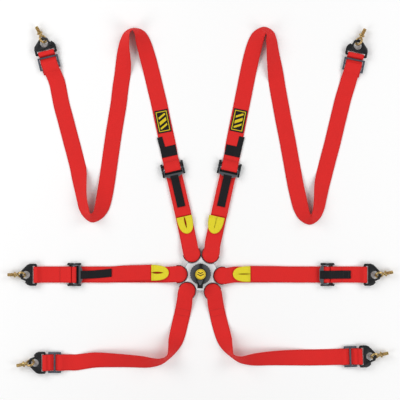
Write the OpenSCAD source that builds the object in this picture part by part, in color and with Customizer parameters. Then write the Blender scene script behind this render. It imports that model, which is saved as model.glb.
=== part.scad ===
// Six-point racing harness, laid out flat and ready to fit.
// Origin: centre of the rotary buckle on its flat back. +Y towards the shoulder straps, +Z up from the floor.

/* [Webbing] */
// Width of the harness webbing
web_w = 50; // [44:1:56]
// Thickness of one layer of webbing
web_t = 2; // [1.6:0.1:2.4]
// Gap kept between neighbouring layers
layer_gap = 0.3; // [0.2:0.05:0.5]

/* [Buckle] */
// Radius of the star-shaped body at its points
body_r = 53; // [50:1:60]
// Thickness of the back plate
back_t = 3; // [2:0.5:5]
// Height of the body's top face above the floor
body_top = 20; // [19:0.5:24]
// Radius of the rotary knob
knob_r = 32.5; // [28:0.5:36]
// Thickness of the knob disc
knob_t = 10; // [7:0.5:14]
// Number of grip notches round the knob
knob_notches = 26; // [16:1:36]
// Radius of the round badge on the handle
badge_r = 16; // [12:0.5:18]
// Radius of the knob's shaft
shaft_r = 8; // [6:0.5:10]
// Clockwise turn of the whole buckle as it lies
buckle_turn = 2; // [0:0.5:6]

/* [Tongues] */
// Gap between the round heads of the two shoulder tongues
head_gap = 2.35; // [1.5:0.05:6]
// Width of the metal rim that shows round the strap at the tongue's head
rim_w = 3; // [2:0.5:4]
// Thickness of a tongue
tongue_t = 3; // [2.5:0.1:3.5]
// Length of the blade that enters the buckle
blade_l = 16; // [12:1:17]
// Width of the blade
blade_w = 16; // [14:0.5:18]
// Radius of a latch pin
pin_r = 3; // [2.5:0.1:3.5]

/* [Adjusters] */
// Gap between the webbing's edge and each side plate of an adjuster
adj_gap = 5; // [4:0.5:8]
// Thickness of the side plates
ear_t = 2.5; // [2:0.1:3]
// Length of the side plates
ear_l = 42; // [38:1:50]
// Radius of the cam roller
roller_r = 4.5; // [4:0.1:5]
// Radius of the lever's pivot pin
pivot_r = 2.5; // [2:0.1:3]
// Width of the release tab
tab_w = 25; // [20:1:30]
// Length of the release tab
tab_l = 98; // [80:1:110]

/* [Anchors] */
// Radius of the eye bolt's shank, 7/16 inch UNF thread outside
shank_r = 5.556; // [5:0.001:6]
// Length of the threaded shank
shank_l = 20; // [16:1:30]
// Radius of the eye ring, to the middle of its bar
eye_r = 11; // [10.5:0.1:11.5]
// Radius of the eye ring's bar
eye_bar = 3.5; // [3:0.1:3.8]
// Thickness of the snap hook's plate
hook_t = 4; // [3:0.5:5]
// How far the snap hook's plate stands out past each edge of the webbing
hook_rim = 9; // [7:0.5:12]
// How far a three-bar slider stands out past each edge of the webbing
slider_rim = 7.5; // [6:0.5:10]
// Overall length of a three-bar slider
slider_l = 40; // [38:1:46]

/* [Hidden] */
$fn = 64;

// Shared clearances
run_gap = 0.05;                           // radial clearance of a pin that turns in a bore
play = 0.4;                               // clearance between plates that move past each other
touch_gap = 0.1;                          // clearance between parts that only rest on each other

// Tongues: bearing of each head from the buckle's centre, after the buckle's turn
SHOULDER_SPREAD = 25.5;
LAP_SPREAD = 93;
CROTCH_SPREAD = 144;
ang_shoulder_left = 90 + SHOULDER_SPREAD - buckle_turn;
ang_shoulder_right = 90 - SHOULDER_SPREAD - buckle_turn;
ang_lap_left = 90 + LAP_SPREAD - buckle_turn;
ang_lap_right = 90 - LAP_SPREAD - buckle_turn;
ang_crotch_left = 90 + CROTCH_SPREAD - buckle_turn;
ang_crotch_right = 90 - CROTCH_SPREAD - buckle_turn;
TONGUE_ANGLES = [ang_shoulder_left, ang_shoulder_right, ang_lap_left, ang_lap_right,
    ang_crotch_left, ang_crotch_right];

half_w = web_w / 2;
head_r = half_w + touch_gap + rim_w;      // round head of a tongue, outside its rim
tongue_z = 9;                             // underside of every tongue
tongue_top = tongue_z + tongue_t;
lobe_r = head_r + 0.6;                    // recess in the body round each head
head_dist = (head_r + head_gap / 2) / sin(SHOULDER_SPREAD);  // buckle's centre to a head's centre
tongue_slot_in = half_w - 4;              // inner edge of the curved strap slot in a tongue
pin_inset = 6;                            // latch pin from the inner end of a blade
pin_dist = head_dist - head_r - blade_l + pin_inset;
cavity_r = pin_dist + pin_r + 2.4;        // chamber of the latch spider
latch_z = tongue_top + 1;                 // underside of the latch spider
latch_t = 2;
latch_lift = 4;
knob_z = body_top + play;
handle_z = knob_z + knob_t;
handle_t = 6;
handle_r = 18.5;

// Adjusters: heights of the roller and bars above the floor
roller_z = 9;
rear_bar_u = 13;
rear_bar_z = 7;
rear_bar_r = 3;
adj_inner = web_w + 2 * adj_gap;          // inside width between the side plates
adj_half = adj_inner / 2;
arm_t = 2.2;
lip_z = 12.4;

// Snap hooks: the plate's middle height, set by the eye ring that leans through it
eye_lean = 50;                            // lean of the ring's plane from the floor
hook_z = 12.5;
hook_w = web_w + 2 * hook_rim;
hook_half = hook_w / 2;
hook_end_u = -48;                         // inner end of the bar that the webbing turns round
hook_slot_u = -41;                        // webbing slot: its inner edge and its length
hook_slot_l = 6.5;
hook_hole_u = -14.5;                      // round hole that holds the eye ring
hook_hole_r = 11.6;
mouth_w = 11;
mouth_angle = 70;
gate_pivot = [-22, 19];
gate_l = 22.5;
gate_w = 6;
gate_angle = -21;
gate_t = 2.4;
rivet_r = 2;

// Places: [x, y, bearing of the outward axis] of each adjuster, slider and hook
ADJ_SHOULDER_LEFT = [-86, 324, 103];
ADJ_SHOULDER_RIGHT = [89, 325, 77.5];
ADJ_LAP_LEFT = [-391, -3, 180];
ADJ_LAP_RIGHT = [393, -3, 0];
HOOK_SHOULDER_LEFT = [-487, 725, 104];
HOOK_SHOULDER_RIGHT = [489, 718, 78];
HOOK_LAP_LEFT = [-553, -3, 180];
HOOK_LAP_RIGHT = [552, -3, 0];
HOOK_CROTCH_LEFT = [-526, -275, 180];
HOOK_CROTCH_RIGHT = [538, -254, 2];
// Side of each hook's mouth, and the turn of its eye bolt
MOUTH_SHOULDER_LEFT = -1;
MOUTH_SHOULDER_RIGHT = 1;
MOUTH_LAP_LEFT = 1;
MOUTH_LAP_RIGHT = -1;
MOUTH_CROTCH_LEFT = -1;
MOUTH_CROTCH_RIGHT = -1;
TURN_SHOULDER_LEFT = 14;
TURN_SHOULDER_RIGHT = -15;
TURN_LAP_LEFT = 0;
TURN_LAP_RIGHT = 11;
TURN_CROTCH_LEFT = 12;
TURN_CROTCH_RIGHT = 10;
slider_u = -74.5;                         // middle of a slider, along its hook's axis
slider_z = 4.6;
slider_t = 4;
slider_w = web_w + 2 * slider_rim;
slider_bar = 5;

// ---------- general functions ----------

function unit(v) = v / norm(v);
function along(place, u, v) = [place[0] + u * cos(place[2]) - v * sin(place[2]),
    place[1] + u * sin(place[2]) + v * cos(place[2])];
function polar(r, a) = [r * cos(a), r * sin(a)];

// A smooth curve through the given stations: each station is a list of numbers, blended one by one
function blend4(a, b, c, d, t) =
    0.5 * (2 * b + (c - a) * t + (2 * a - 5 * b + 4 * c - d) * t * t + (3 * b - a - 3 * c + d) * t * t * t);
function smooth(pts, steps) = [
    for (i = [0:len(pts) - 2], k = [0:steps - 1])
        blend4(pts[max(i - 1, 0)], pts[i], pts[i + 1], pts[min(i + 2, len(pts) - 1)], k / steps),
    pts[len(pts) - 1]];
function smooth_ring(pts, steps) = let (n = len(pts)) [
    for (i = [0:n - 1], k = [0:steps - 1])
        blend4(pts[(i + n - 1) % n], pts[i], pts[(i + 1) % n], pts[(i + 2) % n], k / steps)];

// A station of a ribbon: [x, y, z, across x, across y, across z, width, thickness]
function place_of(s) = [s[0], s[1], s[2]];
function across_of(s) = unit([s[3], s[4], s[5]]);
function tangent(list, i, closed) = let (n = len(list),
        a = closed ? (i + n - 1) % n : max(i - 1, 0),
        b = closed ? (i + 1) % n : min(i + 1, n - 1))
    unit(place_of(list[b]) - place_of(list[a]));

// Flat webbing swept through the stations; its section is a rectangle of width by thickness
module ribbon(list, closed = false) {
    n = len(list);
    rings = [for (i = [0:n - 1]) let (
            p = place_of(list[i]),
            w = across_of(list[i]) * list[i][6] / 2,
            t = tangent(list, i, closed),
            h = unit(cross(t, w)) * list[i][7] / 2)
        [p + w + h, p - w + h, p - w - h, p + w - h]];
    last = closed ? n - 1 : n - 2;
    sides = [for (i = [0:last], k = [0:3]) let (
            a = i * 4 + k, b = i * 4 + (k + 1) % 4,
            j = (i + 1) % n, c = j * 4 + (k + 1) % 4, d = j * 4 + k)
        each [[a, c, b], [a, d, c]]];
    ends = closed ? [] : [[1, 2, 3], [0, 1, 3],
        [n * 4 - 2, n * 4 - 3, n * 4 - 4], [n * 4 - 1, n * 4 - 2, n * 4 - 4]];
    polyhedron([for (r = rings) each r], concat(sides, ends), convexity = 10);
}

// Stations for webbing that lies on the floor: [x, y, lift, lean, thickness], the lean turning it on edge
function floor_station(p, q, s) = let (
        t = unit([q[0] - p[0], q[1] - p[1]]),
        z = s[2] + s[4] / 2 + half_w * abs(sin(s[3])))
    [s[0], s[1], z, -t[1] * cos(s[3]), t[0] * cos(s[3]), sin(s[3]), web_w, s[4]];
function floor_route(list) = let (n = len(list)) [for (i = [0:n - 1])
    floor_station(list[max(i - 1, 0)], list[min(i + 1, n - 1)], list[i])];

// Stations for webbing that keeps to one arm's axis: [u, v, z, thickness] about a place
function arm_route(place, list) = [for (s = list) let (p = along(place, s[0], s[1]))
    [p[0], p[1], s[2], -sin(place[2]), cos(place[2]), 0, web_w, s[3]]];

module at(place, z = 0) {
    translate([place[0], place[1], z])
        rotate(place[2])
            children();
}

// ---------- buckle ----------

// Plan of the buckle: a disc with a round recess for each tongue's head
module star(r, recess) {
    difference() {
        circle(r = r, $fn = 128);
        for (a = TONGUE_ANGLES)
            translate(polar(head_dist, a))
                circle(r = recess, $fn = 96);
    }
}

module buckle_back_plate() {
    color("silver")
        linear_extrude(back_t)
            star(body_r - 1, lobe_r + 1);
}

module buckle_body() {
    color("gainsboro")
        difference() {
            translate([0, 0, back_t])
                linear_extrude(body_top - back_t)
                    star(body_r, lobe_r);
            // chamber of the latch spider
            translate([0, 0, tongue_top + play])
                cylinder(r = cavity_r, h = latch_z + latch_t + latch_lift + play - tongue_top - play);
            // guides of the six blades
            for (a = TONGUE_ANGLES)
                rotate(a)
                    translate([pin_dist - 7, -blade_w / 2 - play, tongue_z - play])
                        cube([head_dist - pin_dist, blade_w + 2 * play, tongue_t + 2 * play + 0.1]);
            // bore of the knob's shaft
            translate([0, 0, back_t - 1])
                cylinder(r = shaft_r + run_gap, h = body_top);
        }
}

// Spider that carries the six latch pins, lifted by the knob's cam
module latch_pins() {
    color("dimgray") {
        difference() {
            translate([0, 0, latch_z])
                union() {
                    cylinder(r = shaft_r + 5, h = latch_t);
                    for (a = TONGUE_ANGLES)
                        rotate(a) {
                            translate([0, -pin_r, 0])
                                cube([pin_dist, 2 * pin_r, latch_t]);
                            translate([pin_dist, 0, 0])
                                cylinder(r = pin_r + 1.2, h = latch_t);
                            translate([pin_dist, 0, tongue_z - touch_gap - latch_z])
                                cylinder(r = pin_r, h = latch_z - tongue_z + 0.5);
                        }
                }
            translate([0, 0, latch_z - 1])
                cylinder(r = shaft_r + 0.5, h = latch_t + 2);
        }
    }
}

module release_knob() {
    notch_r = 2.2;
    color([0.16, 0.17, 0.18]) {
        difference() {
            translate([0, 0, knob_z])
                cylinder(r = knob_r, h = knob_t, $fn = 128);
            for (i = [0:knob_notches - 1])
                rotate(i * 360 / knob_notches)
                    translate([knob_r + notch_r * 0.45, 0, knob_z - 1])
                        cylinder(r = notch_r, h = knob_t + 2, $fn = 24);
        }
        translate([0, 0, back_t + touch_gap])
            cylinder(r = shaft_r, h = knob_z - back_t);
    }
}

// Turn handle: a round centre with a short nub above and a long one below
module release_handle() {
    nub_w = 9;
    tail_w = 17;
    tail_r = 43;
    color([0.07, 0.07, 0.08])
        rotate(-buckle_turn)
            translate([0, 0, handle_z])
                difference() {
                    union() {
                        cylinder(r = handle_r, h = handle_t);
                        translate([-nub_w / 2, 0, 0])
                            cube([nub_w, knob_r, handle_t]);
                        linear_extrude(handle_t)
                            polygon([[-handle_r * 0.95, -6], [handle_r * 0.95, -6],
                                [tail_w / 2, -tail_r + 10], [tail_w / 2, -tail_r],
                                [-tail_w / 2, -tail_r], [-tail_w / 2, -tail_r + 10]]);
                    }
                    translate([0, 0, handle_t - 1])
                        cylinder(r = badge_r + touch_gap, h = 2);
                }
}

module centre_badge() {
    color("gold")
        translate([0, 0, handle_z + handle_t - 1])
            cylinder(r = badge_r, h = 1.6);
}

// ---------- tongues ----------

// Plate with a round head; the strap turns through the curved slot and covers all but the rim
module tongue(a) {
    color([0.1, 0.1, 0.11])
        rotate(a)
            translate([head_dist, 0, tongue_z])
                difference() {
                    union() {
                        cylinder(r = head_r, h = tongue_t, $fn = 96);
                        translate([-head_r - blade_l, -blade_w / 2, 0])
                            cube([blade_l + head_r, blade_w, tongue_t]);
                    }
                    // straight outer end
                    translate([tongue_end, -head_r - 1, -1])
                        cube([head_r, 2 * head_r + 2, tongue_t + 2]);
                    // curved slot
                    difference() {
                        translate([0, 0, -1])
                            cylinder(r = half_w + touch_gap, h = tongue_t + 2, $fn = 96);
                        translate([0, 0, -2])
                            cylinder(r = tongue_slot_in, h = tongue_t + 4, $fn = 96);
                        translate([-12, -head_r, -2])
                            cube([2 * head_r, 2 * head_r, tongue_t + 4]);
                    }
                    // notch that takes the latch pin
                    translate([-head_dist + pin_dist, 0, -1])
                        cylinder(r = pin_r + run_gap, h = tongue_t + 2);
                    translate([-head_r - blade_l - 1, -pin_r - run_gap, -1])
                        cube([pin_inset + 1, 2 * (pin_r + run_gap), tongue_t + 2]);
                }
}

// End of a strap on its tongue: a round layer above and below, joined through the curved slot
tongue_end = 6;                           // straight outer end of a tongue, past its head's centre
stack_low = tongue_z - touch_gap - web_t;
stack_t = tongue_t + 2 * web_t + 2 * touch_gap;
seam_l = 5;

module strap_head(a) {
    rotate(a)
        translate([head_dist, 0, 0]) {
            for (z = [stack_low, tongue_top + touch_gap])
                translate([0, 0, z])
                    linear_extrude(web_t)
                        union() {
                            circle(r = half_w, $fn = 96);
                            translate([0, -half_w])
                                square([tongue_end + 1, web_w]);
                        }
            // layers joined through the slot
            translate([0, 0, stack_low + web_t / 2])
                linear_extrude(tongue_t + web_t)
                    difference() {
                        circle(r = half_w - 0.1, $fn = 96);
                        circle(r = tongue_slot_in + touch_gap, $fn = 96);
                        translate([-12 - touch_gap, -head_r])
                            square(2 * head_r);
                    }
            // layers joined behind the tongue
            translate([tongue_end + touch_gap, -half_w, stack_low])
                cube([seam_l, web_w, stack_t]);
        }
}

// First stations of a strap, inside the seam behind its tongue
function head_station(a, d) = let (p = polar(head_dist + tongue_end + d, a))
    [p[0], p[1], stack_low + stack_t / 2, -sin(a), cos(a), 0, web_w - 0.3, stack_t - 0.3];
function low_station(x, y, a, z, t) = [x, y, z, -sin(a), cos(a), 0, web_w, t];

// ---------- straps ----------

double_t = 2 * web_t;
single_z = web_t / 2;
double_z = double_t / 2;
top_z = double_t + layer_gap + web_t / 2;  // free end that lies on a doubled strap
over_z = web_t + layer_gap + web_t / 2;    // free end that lies on a single strap

// Lower shoulder strap at its adjuster: along the floor, under the front bar and back over it
SHOULDER_LOWER = [[-120, 0, double_z, double_t], [-60, 0, double_z, double_t], [-30, 0, double_z, double_t],
    [-22, 0, 1.3, web_t], [-14, 0, 1.2, web_t], [-9.4, 0, 1.8, web_t], [-7.6, 0, 4.4, web_t],
    [-9.4, 0, 7, web_t], [-14, 0, 7, web_t]];

module strap_tongue_shoulder(a, adj, mid) {
    color([0.9, 0.16, 0.14]) {
        strap_head(a);
        ribbon(smooth(concat(
            [head_station(a, 2), head_station(a, 7)],
            [low_station(mid[0][0], mid[0][1], (a + 2 * adj[2]) / 3, 7, double_t + 1),
             low_station(mid[1][0], mid[1][1], adj[2], double_z + 1, double_t)],
            arm_route(adj, SHOULDER_LOWER)), 4));
    }
}

module strap_tongue_shoulder_left() {
    strap_tongue_shoulder(ang_shoulder_left, ADJ_SHOULDER_LEFT, [[-35, 95], [-42, 128]]);
}
module strap_tongue_shoulder_right() {
    strap_tongue_shoulder(ang_shoulder_right, ADJ_SHOULDER_RIGHT, [[38, 94], [45, 127]]);
}

// Free end on the lower strap, up over the adjuster's roller and its rear bar, then down to the floor
SHOULDER_FREE = [[-150, 0, top_z, web_t], [-100, 0, top_z, web_t], [-50, 0, top_z, web_t],
    [-34, 0, top_z + 0.2, web_t], [-24, 0, 6.6, web_t], [-16, 0, 9.3, web_t], [-11, 0, 11.2, web_t],
    [-6, 0, 13.5, web_t], [0, 0, 14.9, web_t], [6, 0, 14, web_t], [13, 0, 11.8, web_t], [20, 0, 8.2, web_t],
    [27, 0, 4, web_t], [35, 0, 1.4, web_t], [42, 0, single_z, web_t]];

// Slider and hook end of a strap. Over the two lower bars and under the top one; the strap comes in
// from the side by its drift:
function slider_over(drift) = [[-145, drift, single_z, web_t], [-120, 0.75 * drift, 2.4, web_t],
    [-106, 0.5 * drift, 6, web_t], [-98, 0.35 * drift, 9.3, web_t], [-92, 0.25 * drift, 10, web_t],
    [-83, 0.1 * drift, 10, web_t], [-73, 0, 10.2, web_t], [-69.4, 0, 9.2, web_t], [-65, 0, 5.8, web_t],
    [-61, 0, 3.6, web_t], [-54.5, 0, over_z, web_t], [-51.6, 0, 4.8, web_t], [-50.4, 0, 8.5, web_t],
    [-50.2, 0, 12.5, web_t]];
// or over the outer bars and under the middle one:
SLIDER_UNDER = [[-145, 0, single_z, web_t], [-120, 0, 2.4, web_t], [-106, 0, 6, web_t], [-98, 0, 9.3, web_t],
    [-91, 0, 10.2, web_t], [-87.2, 0, 9.2, web_t], [-83, 0, 5.6, web_t], [-78, 0, 3.4, web_t],
    [-70.5, 0, 3.4, web_t], [-65.5, 0, 5.8, web_t], [-61.4, 0, 9.4, web_t], [-57, 0, 10.2, web_t],
    [-52.5, 0, 11.8, web_t], [-50.3, 0, 14.2, web_t]];
HOOK_TURN = [[-49.4, 0, 15.3, web_t], [-46, 0, 16.2, web_t], [-41.5, 0, 16, web_t], [-39, 0, 14.9, web_t],
    [-38.3, 0, 12.5, web_t], [-39.2, 0, 9.8, web_t], [-42.6, 0, 8.5, web_t], [-46.8, 0, 5.5, web_t],
    [-50.4, 0, 1.9, web_t], [-54, 0, single_z, web_t], [-74, 0, single_z, web_t],
    [-108, 0, single_z, web_t]];

// Left shoulder strap between its adjuster and slider: [x, y, lift, lean, thickness]
SHOULDER_LEFT_RUN = [for (s = [[-99, 388, 0], [-107, 426, 0], [-118, 476, 0], [-128, 525, 0], [-140, 575, 0],
    [-152, 625, 0], [-165, 675, 10], [-178, 720, 30], [-189, 743, 52], [-207, 754, 75], [-225, 744, 66],
    [-233, 722, 52], [-237, 697, 42], [-238, 672, 28], [-239, 645, 12], [-242, 615, 0], [-248, 575, 0],
    [-254, 525, 0], [-262, 476, 0], [-270, 426, 0], [-277, 377, 0], [-284, 327, 0], [-291, 277, -6],
    [-298, 235, -16], [-305, 204, -32], [-317, 181, -52], [-335, 172, -58], [-350, 182, -58],
    [-360, 204, -48], [-366, 230, -46], [-370, 258, -38], [-374, 290, -22], [-379, 325, 0],
    [-392, 377, 0], [-405, 426, 0], [-418, 476, 0], [-431, 525, 0]]) [s[0], s[1], 0, s[2], web_t]];
SHOULDER_RIGHT_RUN = [for (s = [[101, 388, 0], [108, 426, 0], [118, 476, 0], [128, 525, 0], [138, 575, 0],
    [148, 625, 0], [159, 675, -8], [171, 718, -24], [182, 740, -42], [199, 751, -58], [214, 742, -56],
    [219, 722, -46], [222, 697, -40], [225, 670, -32], [230, 635, -18], [235, 600, 0], [239, 575, 0],
    [248, 525, 0], [257, 476, 0], [267, 426, 0], [276, 377, 0], [285, 327, 0], [294, 277, 5],
    [303, 235, 12], [310, 204, 26], [321, 178, 44], [339, 167, 52], [355, 178, 50], [365, 204, 40],
    [370, 235, 32], [375, 270, 16], [383, 305, 0], [395, 352, 0], [408, 401, 0], [420, 451, 0],
    [432, 501, 0], [443, 545, 0]]) [s[0], s[1], 0, s[2], web_t]];

module strap_shoulder(adj, run, hook, drift) {
    color([0.9, 0.16, 0.14])
        ribbon(smooth(concat(arm_route(adj, SHOULDER_FREE), floor_route(run),
            arm_route(hook, slider_over(drift)), arm_route(hook, HOOK_TURN)), 3));
}
module strap_shoulder_left() {
    strap_shoulder(ADJ_SHOULDER_LEFT, SHOULDER_LEFT_RUN, HOOK_SHOULDER_LEFT, -9);
}
module strap_shoulder_right() {
    strap_shoulder(ADJ_SHOULDER_RIGHT, SHOULDER_RIGHT_RUN, HOOK_SHOULDER_RIGHT, 6);
}

// Lap strap from its adjuster's front bar, round the roller and back as the free end
LAP_ROUND = [[-60, 0, single_z, web_t], [-22, 0, single_z, web_t], [-9, 0, 1.2, web_t], [0, 0, 3.1, web_t],
    [4.4, 0, 5.2, web_t], [5.9, 0, 9, web_t], [4.3, 0, 13, web_t], [0, 0, 14.9, web_t], [-5, 0, 14, web_t],
    [-9.6, 0, 11.4, web_t], [-14.4, 0, 8, web_t], [-22, 0, 4.8, web_t], [-32, 0, over_z, web_t],
    [-60, 0, over_z, web_t], [-110, 0, over_z, web_t]];

module strap_lap(a, adj, drift) {
    color([0.9, 0.16, 0.14]) {
        strap_head(a);
        ribbon(smooth(concat(
            [head_station(a, 2), head_station(a, 7)],
            arm_route(adj, [[-288, 0, 6, double_t + 1], [-262, 0, double_z + 0.6, double_t],
                [-230, 0, double_z, double_t], [-180, 0, double_z, double_t], [-160, 0, single_z, web_t]]),
            arm_route(adj, LAP_ROUND),
            arm_route(adj, [[-150, drift / 2, over_z, web_t], [-178, 0.7 * drift, 4.6, web_t],
                [-200, 0.8 * drift, top_z, web_t], [-241, drift, top_z, web_t]])), 3));
    }
}
module strap_lap_left() {
    strap_lap(ang_lap_left, ADJ_LAP_LEFT, -6);
}
module strap_lap_right() {
    strap_lap(ang_lap_right, ADJ_LAP_RIGHT, 2);
}

// Closed loop of webbing between an adjuster's rear bar and its snap hook
module anchor_loop(adj, hook) {
    reach = norm([hook[0] - adj[0], hook[1] - adj[1]]);
    color([0.88, 0.14, 0.14])
        ribbon(smooth_ring(arm_route(adj, [
            [rear_bar_u, 0, 11.4, web_t], [20, 0, 9.6, web_t], [32, 0, 5, web_t], [50, 0, over_z, web_t],
            [reach - 82, 0, over_z, web_t], [reach - 62, 0, 6.6, web_t], [reach - 53, 0, 12.2, web_t],
            [reach - 48.7, 0, 15.7, web_t], [reach - 43.5, 0, 16.3, web_t], [reach - 39.2, 0, 15.3, web_t],
            [reach - 38.2, 0, 12.5, web_t], [reach - 39.2, 0, 9.7, web_t], [reach - 43.5, 0, 8.7, web_t],
            [reach - 52, 0, 6.4, web_t], [reach - 64, 0, 1.8, web_t], [reach - 82, 0, single_z, web_t],
            [50, 0, single_z, web_t], [24, 0, single_z, web_t], [16, 0, 2.2, web_t],
            [10.6, 0, 3.2, web_t], [8.6, 0, 7, web_t], [10, 0, 10.4, web_t]]), 3), closed = true);
}
module anchor_loop_left() {
    anchor_loop(ADJ_LAP_LEFT, HOOK_LAP_LEFT);
}
module anchor_loop_right() {
    anchor_loop(ADJ_LAP_RIGHT, HOOK_LAP_RIGHT);
}

// Crotch straps: down from the buckle, on edge round the corner, then out to the hook
CROTCH_LEFT_RUN = [for (s = [[-62, -148, 0], [-69, -178, -6], [-76, -205, -22], [-84, -230, -50],
    [-97, -254, -72], [-122, -269, -62], [-150, -273, -48], [-176, -272, -38], [-205, -270, -34],
    [-250, -268, -28], [-324, -267, -14]]) [s[0], s[1], 0, s[2], web_t]];
CROTCH_RIGHT_RUN = [for (s = [[57, -143, 0], [64, -170, 4], [73, -200, 18], [83, -228, 48],
    [97, -251, 73], [122, -263, 60], [148, -265, 44], [174, -264, 32], [222, -261, 22],
    [280, -260, 10], [340, -260, 0]]) [s[0], s[1], 0, s[2], web_t]];

module strap_crotch(a, mid, run, hook) {
    color([0.9, 0.16, 0.14]) {
        strap_head(a);
        ribbon(smooth(concat(
            [head_station(a, 2), head_station(a, 7)], mid, floor_route(run),
            arm_route(hook, SLIDER_UNDER), arm_route(hook, HOOK_TURN)), 3));
    }
}
module strap_crotch_left() {
    strap_crotch(ang_crotch_left, [low_station(-52, -88, 250, 7, double_t + 1),
        low_station(-56, -116, 258, double_z, double_t)], CROTCH_LEFT_RUN, HOOK_CROTCH_LEFT);
}
module strap_crotch_right() {
    strap_crotch(ang_crotch_right, [low_station(48, -90, -70, 7, double_t + 1),
        low_station(52, -116, -79, double_z, double_t)], CROTCH_RIGHT_RUN, HOOK_CROTCH_RIGHT);
}

// ---------- pull loops ----------

// Folded tape sewn to a free end: wide at its base and round at its tip, with a narrow slit
loop_l = 54;
loop_t = 3.4;
loop_tip = 26;                            // length of the rounded tip
slit_w = 3.4;
slit_start = 12;
slit_l = 24;
lap_loop_rise = 5;                        // the lap loops climb over the thick end of their strap

module pull_loop(x, y, a, rise = 0) {
    color([0.95, 0.9, 0.2])
        translate([x, y, top_z + web_t / 2 + touch_gap])
            rotate([0, -rise, a])
                linear_extrude(loop_t)
                    difference() {
                        union() {
                            translate([0, -half_w + 1])
                                square([loop_l - loop_tip, web_w - 2]);
                            translate([loop_l - loop_tip, 0])
                                scale([loop_tip / (half_w - 1), 1])
                                    circle(r = half_w - 1);
                        }
                        translate([slit_start, -slit_w / 2])
                            square([slit_l, slit_w]);
                    }
}
module pull_loop_shoulder_left() {
    pull_loop(-51, 177, -77);
}
module pull_loop_shoulder_right() {
    pull_loop(51, 177, -102.5);
}
module pull_loop_lap_left() {
    pull_loop(-152, 3, 0, lap_loop_rise);
}
module pull_loop_lap_right() {
    pull_loop(154, -1, 180, lap_loop_rise);
}

// ---------- adjusters ----------

module adjuster_frame() {
    ear_h = 14;
    lug = 3;
    color([0.12, 0.12, 0.13])
        difference() {
            union() {
                for (side = [-1, 1]) {
                    // side plate and its turned-out foot
                    translate([-ear_l / 2, side > 0 ? adj_half : -adj_half - ear_t, touch_gap])
                        cube([ear_l, ear_t, ear_h]);
                    translate([-ear_l / 2, side > 0 ? adj_half : -adj_half - ear_t - lug, touch_gap])
                        cube([ear_l, ear_t + lug, 2]);
                }
                // front bar and rear bar
                translate([-15, -adj_half - 1, 3.2])
                    cube([5, adj_inner + 2, 2.5]);
                translate([rear_bar_u, adj_half + 1, rear_bar_z])
                    rotate([90, 0, 0])
                        cylinder(r = rear_bar_r, h = adj_inner + 2);
            }
            // bores of the lever's pivot pin
            translate([0, adj_half + ear_t + 1, roller_z])
                rotate([90, 0, 0])
                    cylinder(r = pivot_r + run_gap, h = adj_inner + 2 * ear_t + 2);
        }
}

module adjuster_lever() {
    arm_y = adj_half - play - arm_t;
    lip_u = -26;
    lip_l = 13;
    color([0.35, 0.36, 0.38]) {
        // pivot pin and cam roller
        translate([0, adj_half + ear_t + 1.5, roller_z])
            rotate([90, 0, 0])
                cylinder(r = pivot_r, h = adj_inner + 2 * ear_t + 3);
        translate([0, arm_y + 0.5, roller_z])
            rotate([90, 0, 0])
                cylinder(r = roller_r, h = 2 * arm_y + 1);
        // side arms
        for (side = [-1, 1])
            translate([0, side > 0 ? arm_y + arm_t : -arm_y, 0])
                rotate([90, 0, 0])
                    linear_extrude(arm_t)
                        polygon([[-16, lip_z], [-14, lip_z + 2.2], [-3, roller_z + 4], [4, roller_z + 2],
                            [4, roller_z - 2], [-3, roller_z - 4], [-10, lip_z - 2.6]]);
        // trapezoid lip across the strap
        translate([0, 0, lip_z])
            linear_extrude(1.8)
                polygon([[lip_u + lip_l, -arm_y - arm_t], [lip_u + lip_l, arm_y + arm_t],
                    [lip_u + 7, arm_y + arm_t], [lip_u, 17], [lip_u, -17], [lip_u + 7, -arm_y - arm_t]]);
    }
}

// Release tab: webbing tape from the lever's lip along the strap
module release_tab(place, list) {
    color([0.08, 0.08, 0.09])
        ribbon(smooth([for (s = arm_route(place, list)) [s[0], s[1], s[2], s[3], s[4], s[5], tab_w, s[7]]], 4));
}
tab_t = 2;
tab_top = lip_z + 1.8 + touch_gap + tab_t / 2;
// Laid over the lip and along the free end towards the buckle
TAB_SHOULDER = [[-14, 0, tab_top, tab_t], [-26, 0, tab_top, tab_t], [-34, 0, 12, tab_t], [-48, 0, 8.4, tab_t],
    [-66, 0, 7.6, tab_t], [-90, 0, 7.6, tab_t], [-tab_l - 22, 0, 7.6, tab_t]];
TAB_LAP = [[-14, 0, tab_top, tab_t], [-26, 0, tab_top, tab_t], [-34, 0, 11, tab_t], [-48, 0, 6.6, tab_t],
    [-66, -1, 5.7, tab_t], [-90, -3, 5.7, tab_t], [-tab_l - 18, -6, 5.7, tab_t]];
// Folded back over the roller towards the hook
TAB_BACK = [[-5, 0, 17.3, tab_t], [4, 0, 17.3, tab_t], [14, 0, 15.4, tab_t], [26, 0, 10.6, tab_t],
    [38, 0, 7.2, tab_t], [54, 0, 5.9, tab_t], [72, 0, 5.9, tab_t]];

module adjuster_frame_shoulder_left() { at(ADJ_SHOULDER_LEFT) adjuster_frame(); }
module adjuster_frame_shoulder_right() { at(ADJ_SHOULDER_RIGHT) adjuster_frame(); }
module adjuster_frame_lap_left() { at(ADJ_LAP_LEFT) adjuster_frame(); }
module adjuster_frame_lap_right() { at(ADJ_LAP_RIGHT) adjuster_frame(); }
module adjuster_lever_shoulder_left() { at(ADJ_SHOULDER_LEFT) adjuster_lever(); }
module adjuster_lever_shoulder_right() { at(ADJ_SHOULDER_RIGHT) adjuster_lever(); }
module adjuster_lever_lap_left() { at(ADJ_LAP_LEFT) adjuster_lever(); }
module adjuster_lever_lap_right() { at(ADJ_LAP_RIGHT) adjuster_lever(); }
module release_tab_shoulder_left() { release_tab(ADJ_SHOULDER_LEFT, TAB_SHOULDER); }
module release_tab_shoulder_right() { release_tab(ADJ_SHOULDER_RIGHT, TAB_SHOULDER); }
module release_tab_lap_left() { release_tab(ADJ_LAP_LEFT, TAB_LAP); }
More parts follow.
